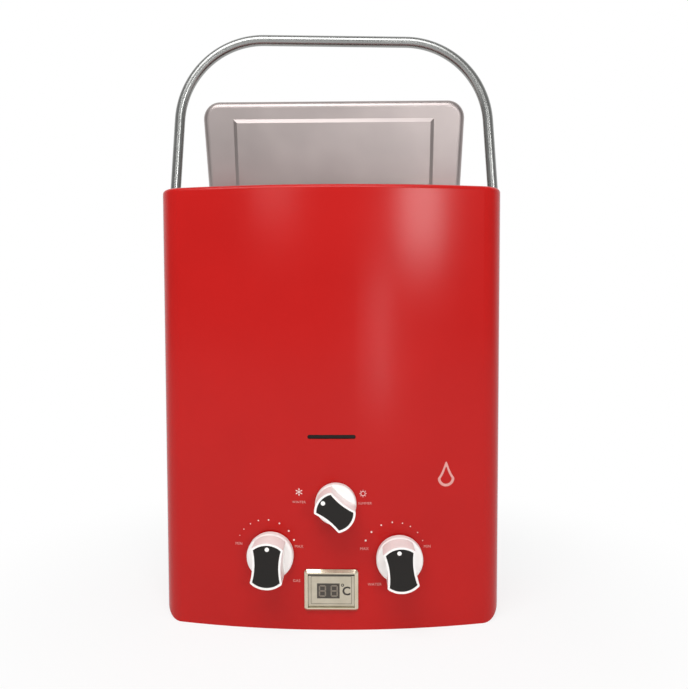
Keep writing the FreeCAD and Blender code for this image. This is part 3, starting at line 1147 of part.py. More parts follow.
def water_pipes():
    side = dim.chamber_half + dim.coil_gap + dim.pipe_radius
    near = dim.chamber_front - dim.coil_gap - dim.pipe_radius
    far = dim.chamber_rear + dim.coil_gap + dim.pipe_radius
    union = dim.cold_union_z
    middle = dim.cold_depth
    points = [(side, middle, union), (side, middle, dim.coil_floor)]
    z = dim.coil_floor
    for turn in range(2):
        for x, depth in ((side, near), (-side, near), (-side, far), (side, far)):
            points.append((x, depth, z))
            z += dim.coil_rise / 2
    points += [(side, middle, z), (side, middle, dim.hot_z),
               (dim.chamber_half - dim.chamber_sheet - dim.pipe_entry, middle, dim.hot_z)]
    radii = [0] + [dim.pipe_bend] * (len(points) - 3) + [dim.end_bend, 0]
    node("coil_pipe", tube("coil", points, radii, "pipe_radius", "pipe_radius - pipe_wall"))
    start = dim.valve_roof
    level = dim.cold_level
    cold = [(dim.cold_x, middle, start), (dim.cold_x, middle, level), (side, middle, level),
            (side, middle, union)]
    node("cold_pipe", tube("cold", cold, [0, dim.cold_bend, dim.cold_bend, 0], "pipe_radius",
                           "pipe_radius - pipe_wall"))
    low = dim.valve_floor
    hot = [(dim.chamber_sheet + dim.pipe_entry - dim.chamber_half, dim.hot_depth, dim.hot_z),
           (dim.hot_x, dim.hot_depth, dim.hot_z),
           (dim.hot_x, dim.hot_depth, low)]
    node("hot_pipe", tube("hot", hot, [0, dim.hot_bend, 0], "pipe_radius", "pipe_radius - pipe_wall"))
    nuts = []
    for name, x, depth, z in (("cold_union", "(chamber_half + coil_gap + pipe_radius)", "cold_depth",
                               "cold_union_z"),
                               ("hot_union", "hot_x", "hot_depth", "(valve_floor + port_depth)")):
        nut = hexagon(f"{name}_hex", "z", "union_radius", f"{z} - union_height / 2",
                      f"{z} + union_height / 2", x,
                      depth)
        hole = rod(f"{name}_hole", "z", "pipe_radius + run_gap", f"{z} - union_height",
                   f"{z} + union_height", x, depth)
        nuts.append(cut(name, nut, hole))
    node("union_nuts", group("unions", *nuts))
    riser = [(dim.riser_x, dim.riser_depth, start), (dim.riser_x, dim.riser_depth, dim.season_z),
             (dim.season_x - dim.season_half, dim.riser_depth, dim.season_z)]
    node("gas_riser", tube("riser", riser, [0, dim.riser_bend, 0], "riser_radius", "riser_radius - 1"))


def ignition():
    right = "(igniter_left + igniter_width)"
    roof = "(igniter_floor + igniter_height)"
    near = f"({plate_front} - igniter_depth)"
    case = block("igniter_case", ("igniter_left", right), (near, plate_front), ("igniter_floor", roof))
    label = block("igniter_recess", ("igniter_left + recess_rim", f"{right} - recess_rim"),
                  (f"{near} - 1", f"{near} + recess_depth"),
                  ("igniter_floor + 4 * recess_rim", f"{roof} - 4 * recess_rim"))
    node("igniter_box", cut("igniter", case, label))
    rods = []
    for name in ("electrode", "sensor"):
        at = (f"{name}_x", "rod_z")
        inner_end = "(chamber_front + 2 * ceramic_radius)"
        ceramic = rod(f"{name}_ceramic", "y", "ceramic_radius", "ceramic_start", inner_end, *at)
        collar = rod(f"{name}_collar", "y", "electrode_ring", "chamber_front - electrode_collar",
                     "chamber_front", *at)
        tip = rod(f"{name}_tip", "y", "wire_radius", f"{inner_end} - 1", f"{inner_end} + electrode_reach",
                  *at)
        rods.append(join(f"{name}_rod", ceramic, collar, tip))
    node("flame_electrodes", group("electrodes", *rods))


def battery_bay():
    half_x, near, far = bay_half, "battery_front", bay_rear
    top = f"({pan_top} + battery_height + 2 * cell_room)"
    case = block("bay_out", (f"battery_x - {half_x} - box_wall", f"battery_x + {half_x} + box_wall"),
                 (f"{near} - box_wall", f"{far} + box_wall"), (pan_top, f"{top} + box_wall"))
    room = block("bay_in", (f"battery_x - {half_x}", f"battery_x + {half_x}"), (near, far),
                 (f"{pan_top} - 1", top))
    node("battery_box", cut("bay", case, room))
    cells, pads = [], []
    low = f"({top} - battery_height)"
    shoulder = f"({top} - cell_nub)"
    for k in range(2):
        depth = f"(battery_front + cell_room + battery_radius + {k} * (2 * battery_radius + cell_gap))"
        cell_body = rod(f"cell_{k}", "z", "battery_radius", low, shoulder, "battery_x", depth)
        nub = rod(f"cell_nub_{k}", "z", "battery_radius / 3", f"{shoulder} - 1", top, "battery_x", depth)
        cells.append(join(f"battery_{k}", cell_body, nub))
        pads.append(rod(f"lid_pad_{k}", "z", "battery_radius / 3", "lid_hinge_z", f"{low} - fit_gap",
                        "battery_x",
                        depth))
    node("batteries", group("battery_pair", *cells))
    plate_low = "(lid_hinge_z - fit_gap)"
    plate = block("lid_plate", (f"battery_x - {half_x} - lid_margin", f"battery_x + {half_x} + lid_margin"),
                  (f"{near} - lid_margin", "lid_back"), (plate_low, f"{plate_low} + lid_sheet"))
    inner = (f"({lid_ears[0]} + ear_sheet / 2 + side_gap)", f"({lid_ears[1]} - ear_sheet / 2 - side_gap)")
    bridge = block("lid_bridge", inner, ("lid_back - 1", lid_axis),
                   ("lid_hinge_z - lid_knuckle / 2", "lid_hinge_z + lid_knuckle / 2"))
    knuckle = rod("lid_barrel", "x", "lid_knuckle", *inner, lid_axis, "lid_hinge_z")
    pins = rod("lid_pins", "x", "lid_pin", f"{lid_ears[0]} - ear_sheet / 2",
               f"{lid_ears[1]} + ear_sheet / 2",
               lid_axis, "lid_hinge_z")
    node("battery_lid", join("lid_solid", plate, bridge, knuckle, pins, *pads))


def leads():
    right = dim.igniter_left + dim.igniter_width
    near = dim.body_depth - dim.back_sheet - dim.igniter_depth
    spark_x, signal_x = right - dim.spark_inset, right - dim.signal_inset
    spark = [(spark_x, near, dim.spark_z), (spark_x, near - dim.lead_out, dim.spark_z),
             (right - dim.spark_side, dim.spark_corner, dim.spark_run - dim.spark_dip),
             (dim.spark_right, dim.spark_entry, dim.spark_run),
             (dim.spark_middle, dim.spark_lane, dim.spark_run),
             (dim.spark_left, dim.spark_lane, dim.spark_run), (dim.electrode_x, dim.spark_cap, dim.rod_z),
             (dim.electrode_x, dim.ceramic_start, dim.rod_z)]
    spark_bends = [0, dim.lead_bend, dim.lead_bend, dim.lead_sweep, dim.lead_wide, dim.lead_sweep,
                   dim.lead_tight, 0]
    back = dim.housing_front + dim.housing_depth
    plug_x, plug_z = dim.display_x + dim.plug_side, dim.display_z + dim.plug_rise
    signal = [(signal_x, near, dim.signal_z), (signal_x, near - dim.lead_out, dim.signal_z),
              (dim.signal_right, dim.signal_lane, dim.signal_z),
              (dim.signal_middle, dim.signal_lane, dim.signal_run),
              (dim.signal_left, dim.signal_lane, dim.signal_low), (plug_x, dim.signal_lane, plug_z),
              (plug_x, back, plug_z)]
    signal_bends = [0, dim.lead_bend, dim.lead_turn, dim.lead_turn, dim.lead_turn, dim.lead_foot, 0]
    top = dim.pan_height + dim.pan_sheet + dim.battery_height + 2 * dim.cell_room + dim.box_wall
    power = [(dim.battery_x, dim.power_depth, top), (dim.battery_x, dim.power_depth, dim.igniter_floor)]
    node("ignition_leads", group("wiring", tube("spark", spark, spark_bends, "lead_radius"),
                                 tube("signal", signal, signal_bends, "lead_radius"),
                                 tube("power", power, [0, 0], "lead_radius")))


front_cover()
cover_screws()
back_plate()
bottom_pan()
exhaust_grille()
flame_window()
display()
rain_hood()
carry_handle()
handle_fittings()
for name in knobs:
    knob(name)
water_valve()
push_rod()
microswitch()
gas_valve()
fittings()
valve_bracket()
season_valve()
burner()
heat_exchanger()
flue_collector()
water_pipes()
ignition()
battery_bay()
leads()

doc.recompute()
failed = [item.Name for item in doc.Objects if "Invalid" in item.State or "Error" in item.State]
if failed:
    raise SystemExit("failed: " + ", ".join(failed))
os.makedirs("parts", exist_ok=True)
for item in nodes:
    shape = item.Shape
    if shape.isNull() or not shape.isValid() or not shape.Solids:
        raise SystemExit(f"{item.Label} has no valid solid")
for item in nodes:
    print(item.Label, len(item.Shape.Solids), round(item.Shape.Volume))
    item.Shape.exportStep(f"parts/{item.Label}.step")
whole = Part.makeCompound([item.Shape for item in nodes]).BoundBox
print(len(nodes), "sub-parts;", "box", [round(v, 2) for v in (whole.XMin, whole.XMax, whole.YMin, whole.YMax,
                                                            whole.ZMin, whole.ZMax)])
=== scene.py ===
import json
import math

import bmesh
import bpy
from mathutils import Matrix, Vector


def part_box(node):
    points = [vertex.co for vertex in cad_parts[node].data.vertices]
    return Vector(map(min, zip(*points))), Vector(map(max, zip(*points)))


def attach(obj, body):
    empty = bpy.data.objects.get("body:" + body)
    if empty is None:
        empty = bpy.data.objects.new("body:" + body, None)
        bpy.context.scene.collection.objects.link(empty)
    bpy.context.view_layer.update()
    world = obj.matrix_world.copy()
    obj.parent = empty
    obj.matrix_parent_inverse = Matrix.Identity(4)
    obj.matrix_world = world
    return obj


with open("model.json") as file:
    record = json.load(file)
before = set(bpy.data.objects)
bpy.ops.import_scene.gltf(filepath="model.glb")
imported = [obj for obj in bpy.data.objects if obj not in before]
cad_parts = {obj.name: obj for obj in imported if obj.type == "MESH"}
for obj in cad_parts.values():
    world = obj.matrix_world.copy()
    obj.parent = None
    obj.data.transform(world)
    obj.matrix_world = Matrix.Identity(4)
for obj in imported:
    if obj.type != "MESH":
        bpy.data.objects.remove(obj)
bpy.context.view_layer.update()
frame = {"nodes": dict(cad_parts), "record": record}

nodes = frame["nodes"]
slotOfNode = {row["node"]: row["material_slot"] for row in frame["record"]["subparts"]}
jointOf = {row["name"]: row for row in frame["record"]["behaviour"]["joints"]}
mm = 0.001
tau = 2 * math.pi


def toLinear(hexText):  # an sRGB hex value as linear red, green, blue, alpha
    channels = [int(hexText[k:k + 2], 16) / 255 for k in (0, 2, 4)]
    return [c / 12.92 if c <= 0.04045 else ((c + 0.055) / 1.055) ** 2.4 for c in channels] + [1.0]


def addNode(tree, kind, inputs=None, stops=None, **settings):
    node = tree.nodes.new(kind)
    for name, value in settings.items():
        setattr(node, name, value)
    for name, value in (inputs or {}).items():
        if isinstance(value, bpy.types.NodeSocket):
            tree.links.new(value, node.inputs[name])
        else:
            node.inputs[name].default_value = value
    if stops:
        node.color_ramp.interpolation = "EASE"
        for stop, (position, hexText) in zip(node.color_ramp.elements, stops):
            stop.position = position
            stop.color = toLinear(hexText)
    return node


# Materials. Each finish has two colours that a soft pattern of a real size runs between, a range
# of roughness over the same pattern, and its relief as (texture, size in mm, stretch, depth in mm).
noise, cells = "ShaderNodeTexNoise", "ShaderNodeTexVoronoi"
finishes = {
    # stove enamel on sheet steel: deep red, a broad soft sheen, faint orange peel, slightly wavy sheet
    "red_enamel": dict(name="redStoveEnamel", dark="b0120f", light="b81512", size=70, rough=(0.19, 0.23),
                       level=0.23, relief=[(noise, 95, (1, 1, 0.45), 0.35), (noise, 1.6, (1, 1, 1), 0.005)]),
    # hot dipped zinc: dull grey spangles about 9 mm across, each catching the light differently
    "zinc_sheet": dict(name="zincSpangle", dark="8e9296", light="b4b8bb", size=9, pattern=cells, output=1,
                       metallic=1, rough=(0.36, 0.5), relief=[(noise, 2.5, (1, 1, 1), 0.012)]),
    # stainless sheet with a satin brush along its width: a grey with a mauve tint that is a painted
    # reflection of warm surroundings, fine cross lines
    "satin_steel": dict(name="satinStainless", dark="a29997", light="b2a8a6", size=45, metallic=1,
                        rough=(0.38, 0.44), relief=[(noise, 0.8, (0.03, 1, 1), 0.003)]),
    # drawn steel tube, polished: bright bands along its length with a little blur
    "chrome_rod": dict(name="polishedTube", dark="8f908e", light="9e9f9d", size=30, metallic=1,
                       rough=(0.25, 0.29), relief=[(noise, 40, (1, 1, 1), 0.006)]),
    # zinc plated steel screws and pins: bright, very slightly blue, turned marks
    "plated_fasteners": dict(name="brightZincPlate", dark="a9adb2", light="c5c9cc", size=5, metallic=1,
                             rough=(0.22, 0.32), relief=[(noise, 0.5, (1, 1, 1), 0.004)]),
    # injection moulded ABS, glossy: clean warm white with the faintest flow marks
    "white_plastic": dict(name="glossyWhiteAbs", dark="f1efec", light="f8f7f5", size=14, rough=(0.3, 0.36),
                          level=0.26, relief=[(noise, 3.5, (1, 1, 1), 0.008)]),
    # spark eroded black plate: matt, warm black, a fine grain
    "black_inlay": dict(name="mattBlackPlate", dark="120f0d", light="1a1613", size=3, rough=(0.5, 0.6),
                        level=0.3, relief=[(noise, 0.35, (1, 1, 1), 0.012)]),
    # moulded dark grey nylon: low sheen with a light texture
    "grey_plastic": dict(name="darkNylon", dark="25262a", light="303236", size=8, rough=(0.42, 0.52),
                         level=0.45, relief=[(noise, 0.6, (1, 1, 1), 0.014)]),
    # nickel and champagne plated trim: mirror bright, slightly uneven in warmth
    "bezel_metal": dict(name="champagnePlating", dark="c9bfa6", light="dcd3be", size=12, metallic=1,
                        rough=(0.1, 0.17), relief=[(noise, 6, (1, 1, 1), 0.006)]),
    # printed plate behind clear acrylic: pale champagne, hazy, with a hard clear surface
    "lens": dict(name="printedWindow", dark="b9b09b", light="c9c1ae", size=6, metallic=0.75,
                 rough=(0.3, 0.36), coat=0.6, relief=[(noise, 2, (1, 1, 1), 0.003)]),
    # split mica: amber, layered, half clear, but its colour is darkened almost to black as painted shade of
    # the dark chamber behind the flame slot
    "mica": dict(name="micaPaintedDark", dark="100b07", light="1d150d", size=7, rough=(0.12, 0.25), level=0.15,
                 clear=0.35, relief=[(noise, 4, (1, 1, 1), 0.01)]),
    # solder mask over copper tracks: green, glossy, tracks a few mm apart
    "circuit_board": dict(name="greenBoard", dark="0f4a26", light="1d6a38", size=3.2, pattern=cells, output=1,
                          rough=(0.25, 0.35), level=0.5, relief=[(cells, 3.2, (1, 1, 1), 0.03)]),
    # turned and forged brass: warm yellow, fine tool marks round the axis
    "brass": dict(name="machinedBrass", dark="b1853f", light="cda65a", size=11, metallic=1,
                  rough=(0.22, 0.34), relief=[(noise, 0.5, (0.4, 0.4, 2), 0.006)]),
    # drawn copper, dipped in lead free solder at its joints: pink brown with heat staining
    "copper": dict(name="drawnCopper", dark="8f4c33", light="c98262", size=24, metallic=1, rough=(0.26, 0.42),
                   relief=[(noise, 1.5, (1, 1, 1), 0.008)]),
    # die cast aluminium: light grey with a shot blasted skin
    "cast_valve": dict(name="castAluminium", dark="92959a", light="aeb1b4", size=6, metallic=1,
                       rough=(0.42, 0.55), relief=[(noise, 0.9, (1, 1, 1), 0.03)]),
    # nitrile rubber: dead black with a dusty bloom
    "black_rubber": dict(name="nitrileRubber", dark="161616", light="222121", size=5, rough=(0.6, 0.75),
                         level=0.3, relief=[(noise, 0.8, (1, 1, 1), 0.02)]),
    # glazed alumina: white, glassy, slightly speckled
    "ceramic": dict(name="glazedCeramic", dark="dcd8cc", light="ebe8df", size=2.5, rough=(0.12, 0.2),
                    level=0.55, relief=[(noise, 1.2, (1, 1, 1), 0.006)]),
    # shrunk film round a dry cell: dark blue grey, glossy, faint wrinkles along it
    "cell_jacket": dict(name="cellSleeve", dark="20262f", light="343d49", size=16, rough=(0.2, 0.3),
                        level=0.5, relief=[(noise, 5, (1, 1, 0.3), 0.02)]),
    # silicone insulation: soft red, waxy
    "cable_jacket": dict(name="siliconeJacket", dark="8e1a17", light="ab2a24", size=9, rough=(0.42, 0.55),
                         level=0.4, relief=[(noise, 1, (1, 1, 1), 0.01)]),
}


def makeFinish(look):
    material = bpy.data.materials.new(look["name"])
    material.use_nodes = True
    tree = material.node_tree
    tree.nodes.clear()
    place = addNode(tree, "ShaderNodeTexCoord").outputs["Object"]
    pattern = addNode(tree, look.get("pattern", noise), {"Vector": place, "Scale": 1 / (look["size"] * mm)})
    factor = pattern.outputs[look.get("output", 0)]
    colour = addNode(tree, "ShaderNodeValToRGB", {"Fac": factor},
                     stops=[(0.0, look["dark"]), (1.0, look["light"])])
    rough = addNode(tree, "ShaderNodeMapRange", {"Value": factor, "To Min": look["rough"][0],
                                                 "To Max": look["rough"][1]},
                    interpolation_type="SMOOTHSTEP")
    sockets = {"Base Color": colour.outputs["Color"], "Roughness": rough.outputs["Result"],
               "Metallic": look.get("metallic", 0.0), "Coat Weight": look.get("coat", 0.0),
               "Transmission Weight": look.get("clear", 0.0)}
    if "level" in look:
        sockets["Specular IOR Level"] = look["level"]
    normal = None
    for kind, size, stretch, depth in look["relief"]:
        turned = addNode(tree, "ShaderNodeMapping", {"Vector": place, "Scale": stretch})
        texture = addNode(tree, kind, {"Vector": turned.outputs["Vector"], "Scale": 1 / (size * mm)})
        bump = addNode(tree, "ShaderNodeBump", {"Height": texture.outputs[0], "Distance": depth * mm,
                                                "Strength": 1.0})
        if normal:
            tree.links.new(normal, bump.inputs["Normal"])
        normal = bump.outputs["Normal"]
    sockets["Normal"] = normal
    shader = addNode(tree, "ShaderNodeBsdfPrincipled", sockets)
    addNode(tree, "ShaderNodeOutputMaterial", {"Surface": shader.outputs["BSDF"]})
    return material


materials = {slot: makeFinish(look) for slot, look in finishes.items()}
inkGrain = (noise, 0.6, (1, 1, 1), 0.003)
prints = {
    # pad printed ink: a thin flat film, slightly worn where it is thin
    "whiteInk": dict(dark="e6cfc9", light="f6eee9", size=2, rough=(0.35, 0.45), level=0.4, relief=[inkGrain]),
    # the same ink screened thinner, so that red shows through it as pink
    "thinInk": dict(dark="cf8a84", light="dfa7a0", size=2, rough=(0.35, 0.45), level=0.4, relief=[inkGrain]),
    # the smoked window over unlit digits
    "smokedWindow": dict(dark="38332c", light="443e36", size=5, rough=(0.2, 0.28), level=0.5,
                         relief=[(noise, 2, (1, 1, 1), 0.003)]),
    # unlit segments: dull warm grey
    "unlitSegment": dict(dark="766e62", light="867e71", size=2, rough=(0.4, 0.5), level=0.4,
                         relief=[inkGrain]),
    # dark brown screen ink, which also paints the shadow line along the display plate's top
    "darkInkAndShade": dict(dark="2b2622", light="37312c", size=2, rough=(0.4, 0.5), level=0.4, relief=[inkGrain]),
}
prints = {name: makeFinish(dict(look, name=name)) for name, look in prints.items()}
for name, node in nodes.items():
    for materialSlot in node.material_slots:
        materialSlot.material = materials[slotOfNode[name]]
print("materials ready:", len(materials) + len(prints))


# Making pieces
def finishPiece(name, mesh, material, body):
    mesh.materials.clear()
    mesh.materials.append(material)
    piece = bpy.data.objects.new(name, mesh)
    bpy.context.scene.collection.objects.link(piece)
    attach(piece, body)


def meshFrom(bm, name):
    bmesh.ops.recalc_face_normals(bm, faces=bm.faces)
    mesh = bpy.data.meshes.new(name)
    bm.to_mesh(mesh)
    bm.free()
    return mesh


# the bowed front, and how thick print stands on it
cover = dict(front=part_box("front_cover")[0].y, bow=618 * mm, film=0.08 * mm)


def coverFace(x):  # y of the cover's front at x
    return cover["front"] + cover["bow"] - math.sqrt(cover["bow"] ** 2 - x * x)


def layOnCover(bm):  # a print drawn in x and z with its film in y is laid on the bowed front
    for vertex in bm.verts:
        vertex.co.y += coverFace(vertex.co.x)


def addBar(bm, x, z, width, height, turn=0.0, film=cover["film"], y=0.0):
    made = bmesh.ops.create_cube(bm, size=1)["verts"]
    bmesh.ops.scale(bm, vec=(width, film, height), verts=made)
    bmesh.ops.rotate(bm, matrix=Matrix.Rotation(turn, 3, "Y"), verts=made)
    bmesh.ops.translate(bm, vec=(x, y - film / 2, z), verts=made)


def addDisc(bm, x, z, radius, film=cover["film"], y=0.0, sides=20):
    made = bmesh.ops.create_cone(bm, segments=sides, cap_ends=True, radius1=radius, radius2=radius,
                                 depth=film)["verts"]
    bmesh.ops.rotate(bm, matrix=Matrix.Rotation(tau / 4, 3, "X"), verts=made)
    bmesh.ops.translate(bm, vec=(x, y - film / 2, z), verts=made)


def addRing(bm, x, z, radius, width, film=cover["film"], y=0.0, sides=28):
    start = [bm.verts.new((x + radius + side * width / 2, y - depth, z)) for side, depth in
             ((-1, 0), (1, 0), (1, film), (-1, film))]
    edges = [bm.edges.new((start[k], start[(k + 1) % 4])) for k in range(4)]
    bmesh.ops.spin(bm, geom=start + edges, cent=(x, y, z), axis=(0, 1, 0), angle=tau, steps=sides,
                   use_merge=True)


capitalShare = 0.72  # how tall a capital is in the font's size


def addWord(bm, word, x, z, height, film=cover["film"], y=0.0, weight=0.0):
    curve = bpy.data.curves.new("word", "FONT")
    curve.body = word
    curve.size = height / capitalShare
    curve.align_x = "CENTER"
    curve.align_y = "CENTER"
    curve.space_character = 1.1
    curve.extrude = film / 2
    curve.offset = weight
    curve.resolution_u = 3
    holder = bpy.data.objects.new("word", curve)
    bpy.context.scene.collection.objects.link(holder)
    mesh = bpy.data.meshes.new_from_object(holder.evaluated_get(bpy.context.evaluated_depsgraph_get()))
    mesh.transform(Matrix.Translation((x, y - film / 2, z)) @ Matrix.Rotation(tau / 4, 4, "X"))
    bm.from_mesh(mesh)
    bpy.data.objects.remove(holder)
    bpy.data.curves.remove(curve)
    bpy.data.meshes.remove(mesh)


# Dial marks printed round the two lower knobs: eight dots that grow with the flow, a word at each end of
# them and one for what the knob sets
dials = {
    "gasDial": dict(x=-54.1, z=67.5, ring=25, turns=(-64, -49, -32, -15, 5, 27, 50, 70), small=0.35,
                    large=0.8, words=(("MIN", -77.4, 71.4), ("MAX", -26.5, 70.6), ("GAS", -28.6, 41.5)),
                    wordHeight=2.3),
    "waterDial": dict(x=52.6, z=64.8, ring=26, turns=(68, 50, 32, 16, -3, -24, -46, -65), small=0.35,
                      large=0.8, words=(("MAX", 27.9, 68.8), ("MIN", 80.6, 69.4), ("WATER", 36.5, 38.5)),
                      wordHeight=2.3),
}
for name, dial in dials.items():
    bm = bmesh.new()
    for k, turn in enumerate(dial["turns"]):
        share = k / (len(dial["turns"]) - 1)
        angle = math.radians(turn)
        x, z = dial["x"] + dial["ring"] * math.sin(angle), dial["z"] + dial["ring"] * math.cos(angle)
        addDisc(bm, x * mm, z * mm, (dial["small"] + share * (dial["large"] - dial["small"])) * mm)
    layOnCover(bm)
    finishPiece(name + "Dots", meshFrom(bm, name), prints["whiteInk"], "housing")
    bm = bmesh.new()
    for word, x, z in dial["words"]:
        addWord(bm, word, x * mm, z * mm, dial["wordHeight"] * mm)
    layOnCover(bm)
    finishPiece(name + "Words", meshFrom(bm, name), prints["thinInk"], "housing")

# Season marks: a snow crystal and a sun, with a word under each
season = dict(crystal=(-26.2, 116.5), arm=3.1, armWidth=0.42, armFilm=0.07, filmStep=0.01, tip=0.55,
              tipPlace=0.72, tipFilm=0.1, sun=(26.9, 115.3), radius=1.8, line=0.4, rays=8, rayWidth=0.35,
              rayLength=0.7, rayPlace=1.5, words=(("WINTER", -26.3, 108), ("SUMMER", 28.5, 107)),
              wordHeight=2.0)
bm = bmesh.new()
x, z = season["crystal"][0] * mm, season["crystal"][1] * mm
arm, place = season["arm"] * mm, season["arm"] * season["tipPlace"] * mm
for k in range(3):  # each bar stands a little over the last, so that their faces don't coincide
    addBar(bm, x, z, season["armWidth"] * mm, 2 * arm, k * tau / 6,
           film=(season["armFilm"] + season["filmStep"] * k) * mm)
for k in range(6):
    angle = k * tau / 6
    addDisc(bm, x + place * math.sin(angle), z + place * math.cos(angle), season["tip"] * mm,
            film=season["tipFilm"] * mm, sides=6)
layOnCover(bm)
finishPiece("snowCrystal", meshFrom(bm, "snowCrystal"), prints["whiteInk"], "housing")
bm = bmesh.new()
x, z = season["sun"][0] * mm, season["sun"][1] * mm
place = season["radius"] * season["rayPlace"] * mm
addRing(bm, x, z, season["radius"] * mm, season["line"] * mm)
for k in range(season["rays"]):
    angle = k * tau / season["rays"]
    addBar(bm, x + place * math.sin(angle), z + place * math.cos(angle), season["rayWidth"] * mm,
           season["rayLength"] * mm, angle)
layOnCover(bm)
finishPiece("sunMark", meshFrom(bm, "sunMark"), prints["whiteInk"], "housing")
bm = bmesh.new()
for word, x, z in season["words"]:
    addWord(bm, word, x * mm, z * mm, season["wordHeight"] * mm)
layOnCover(bm)
finishPiece("seasonWords", meshFrom(bm, "seasonWords"), prints["thinInk"], "housing")

# A plain water drop where the real cover has a printed mark
drop = dict(x=96.5, z=126.6, radius=7, point=1.0, pinch=0.6, line=2.2, sides=48)
bm = bmesh.new()
edges = []
for radius in (drop["radius"], drop["radius"] - drop["line"]):
    ring = []
    for k in range(drop["sides"]):
        angle = k * tau / drop["sides"]
        rise = max(0.0, math.cos(angle))
        x = drop["x"] + radius * math.sin(angle) * (1 - drop["pinch"] * rise)
        z = drop["z"] + radius * math.cos(angle) * (1 + drop["point"] * rise ** 2)
        ring.append(bm.verts.new((x * mm, 0, z * mm)))
    edges += [bm.edges.new((ring[k - 1], ring[k])) for k in range(drop["sides"])]
band = bmesh.ops.bridge_loops(bm, edges=edges)["faces"]
grown = bmesh.ops.extrude_face_region(bm, geom=band)["geom"]
raised = [item for item in grown if isinstance(item, bmesh.types.BMVert)]
bmesh.ops.translate(bm, vec=(0, -cover["film"], 0), verts=raised)
layOnCover(bm)
finishPiece("dropMark", meshFrom(bm, "dropMark"), prints["thinInk"], "housing")
print("cover print ready")

# Display: a fine line round the plate, a painted shadow line along its top, the smoked window, two unlit
# digits and the unit
lensLow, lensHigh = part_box("display_lens")
display = dict(line=0.3, lineInset=2.4, windowLeft=2.5, windowWidth=18.9, windowHeight=12.7, windowDrop=0.7,
               digitWidth=6.1, digitHeight=9.8, digitGap=9.8, bar=1.15, gapAcross=0.345, gapUp=0.3,
               film=0.06, unitPlace=5.6, unitDrop=1.1, unitHeight=7.2, unitWeight=0.26, ringLeft=3.2,
               ringHigh=4.2, ringRadius=0.95, ringLine=0.7, paintedShadeBar=2.0)
centreX, centreZ = (lensLow.x + lensHigh.x) / 2, (lensLow.z + lensHigh.z) / 2
faceY = lensLow.y
halfX = (lensHigh.x - lensLow.x) / 2 - display["lineInset"] * mm
halfZ = (lensHigh.z - lensLow.z) / 2 - display["lineInset"] * mm
film = display["film"] * mm
bm = bmesh.new()
for side in (-1, 1):  # prints that meet differ a little in film, so that their faces don't coincide
    addBar(bm, centreX, centreZ + side * halfZ, 2 * halfX, display["line"] * mm, film=film, y=faceY)
    addBar(bm, centreX + side * halfX, centreZ, display["line"] * mm, 2 * halfZ, film=0.8 * film, y=faceY)
# painted shade: a dark ink bar along the plate's top edge stands in for the shadow and dark reflection under
# the bezel's top edge
addBar(bm, centreX, lensHigh.z - display["paintedShadeBar"] / 2 * mm, lensHigh.x - lensLow.x,
       display["paintedShadeBar"] * mm, film=0.6 * film, y=faceY)
unitX = centreX + (display["windowWidth"] / 2 - display["windowLeft"] + display["unitPlace"]) * mm
addWord(bm, "C", unitX, centreZ - display["unitDrop"] * mm, display["unitHeight"] * mm, film=film, y=faceY,
        weight=display["unitWeight"] * mm)
addRing(bm, unitX - display["ringLeft"] * mm, centreZ + display["ringHigh"] * mm,
        display["ringRadius"] * mm, display["ringLine"] * mm, film=film, y=faceY, sides=20)
finishPiece("displayLinesAndShade", meshFrom(bm, "displayLinesAndShade"), prints["darkInkAndShade"], "housing")
bm = bmesh.new()
windowX, windowZ = centreX - display["windowLeft"] * mm, centreZ - display["windowDrop"] * mm
addBar(bm, windowX, windowZ, display["windowWidth"] * mm, display["windowHeight"] * mm, film=film, y=faceY)
finishPiece("digitWindow", meshFrom(bm, "digitWindow"), prints["smokedWindow"], "housing")
bm = bmesh.new()
bar, gapAcross, gapUp = (display[key] * mm for key in ("bar", "gapAcross", "gapUp"))
stepX, stepZ = (display["digitWidth"] * mm - bar) / 2, (display["digitHeight"] * mm - bar) / 2
for side in (-1, 1):
    x = windowX + side * display["digitGap"] / 2 * mm
    for k in (-1, 0, 1):
        addBar(bm, x, windowZ + k * stepZ, 2 * stepX - gapAcross, bar, film=film, y=faceY - film)
    for left in (-1, 1):
        for low in (-1, 1):
            addBar(bm, x + left * stepX, windowZ + low * stepZ / 2, bar, stepZ - gapUp, film=film,
                   y=faceY - film)
finishPiece("unlitDigits", meshFrom(bm, "unlitDigits"), prints["unlitSegment"], "housing")
print("display ready")

# White pointer dots pressed into the knobs' black plates, each at a reach and a turn from its knob's axis
dot = dict(radius=1.75, height=0.35, sunk=0.1, edge=0.2, sides=32)
pointers = {
    "gas": dict(turn=2, reach=13.8),
    "water": dict(turn=-7, reach=13.8),
    "season": dict(turn=-51.5, reach=11.9),
}
for name, pointer in pointers.items():
    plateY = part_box(name + "_inlay")[0].y
    axis = jointOf[name + "_turn"]["pos_m"]
    angle, reach = math.radians(pointer["turn"]), pointer["reach"] * mm
    bm = bmesh.new()
    addDisc(bm, axis[0] + reach * math.sin(angle), axis[2] + reach * math.cos(angle), dot["radius"] * mm,
            film=dot["height"] * mm, y=plateY + dot["sunk"] * mm, sides=dot["sides"])
    rim = [edge for edge in bm.edges if all(vertex.co.y < plateY for vertex in edge.verts)]
    bmesh.ops.bevel(bm, geom=rim, offset=dot["edge"] * mm, affect="EDGES", segments=3, profile=0.5,
                    material=-1)
    mesh = meshFrom(bm, name + "Pointer")
    mesh.shade_smooth()
    mesh.set_sharp_from_angle(angle=math.radians(40))
    finishPiece(name + "Pointer", mesh, materials["white_plastic"], name + "_control")
print("pointers ready")

# The handle's drawn tube: one smooth skin along the route of the solid, from eye to eye
handleTube = dict(radius=4.85, side=153.2, foot=153, start=333, knee=372, lean=4.4, kneeBend=60, topBend=80.5,
                  bar=523.1, skew=6.2, step=2.5, sides=40)


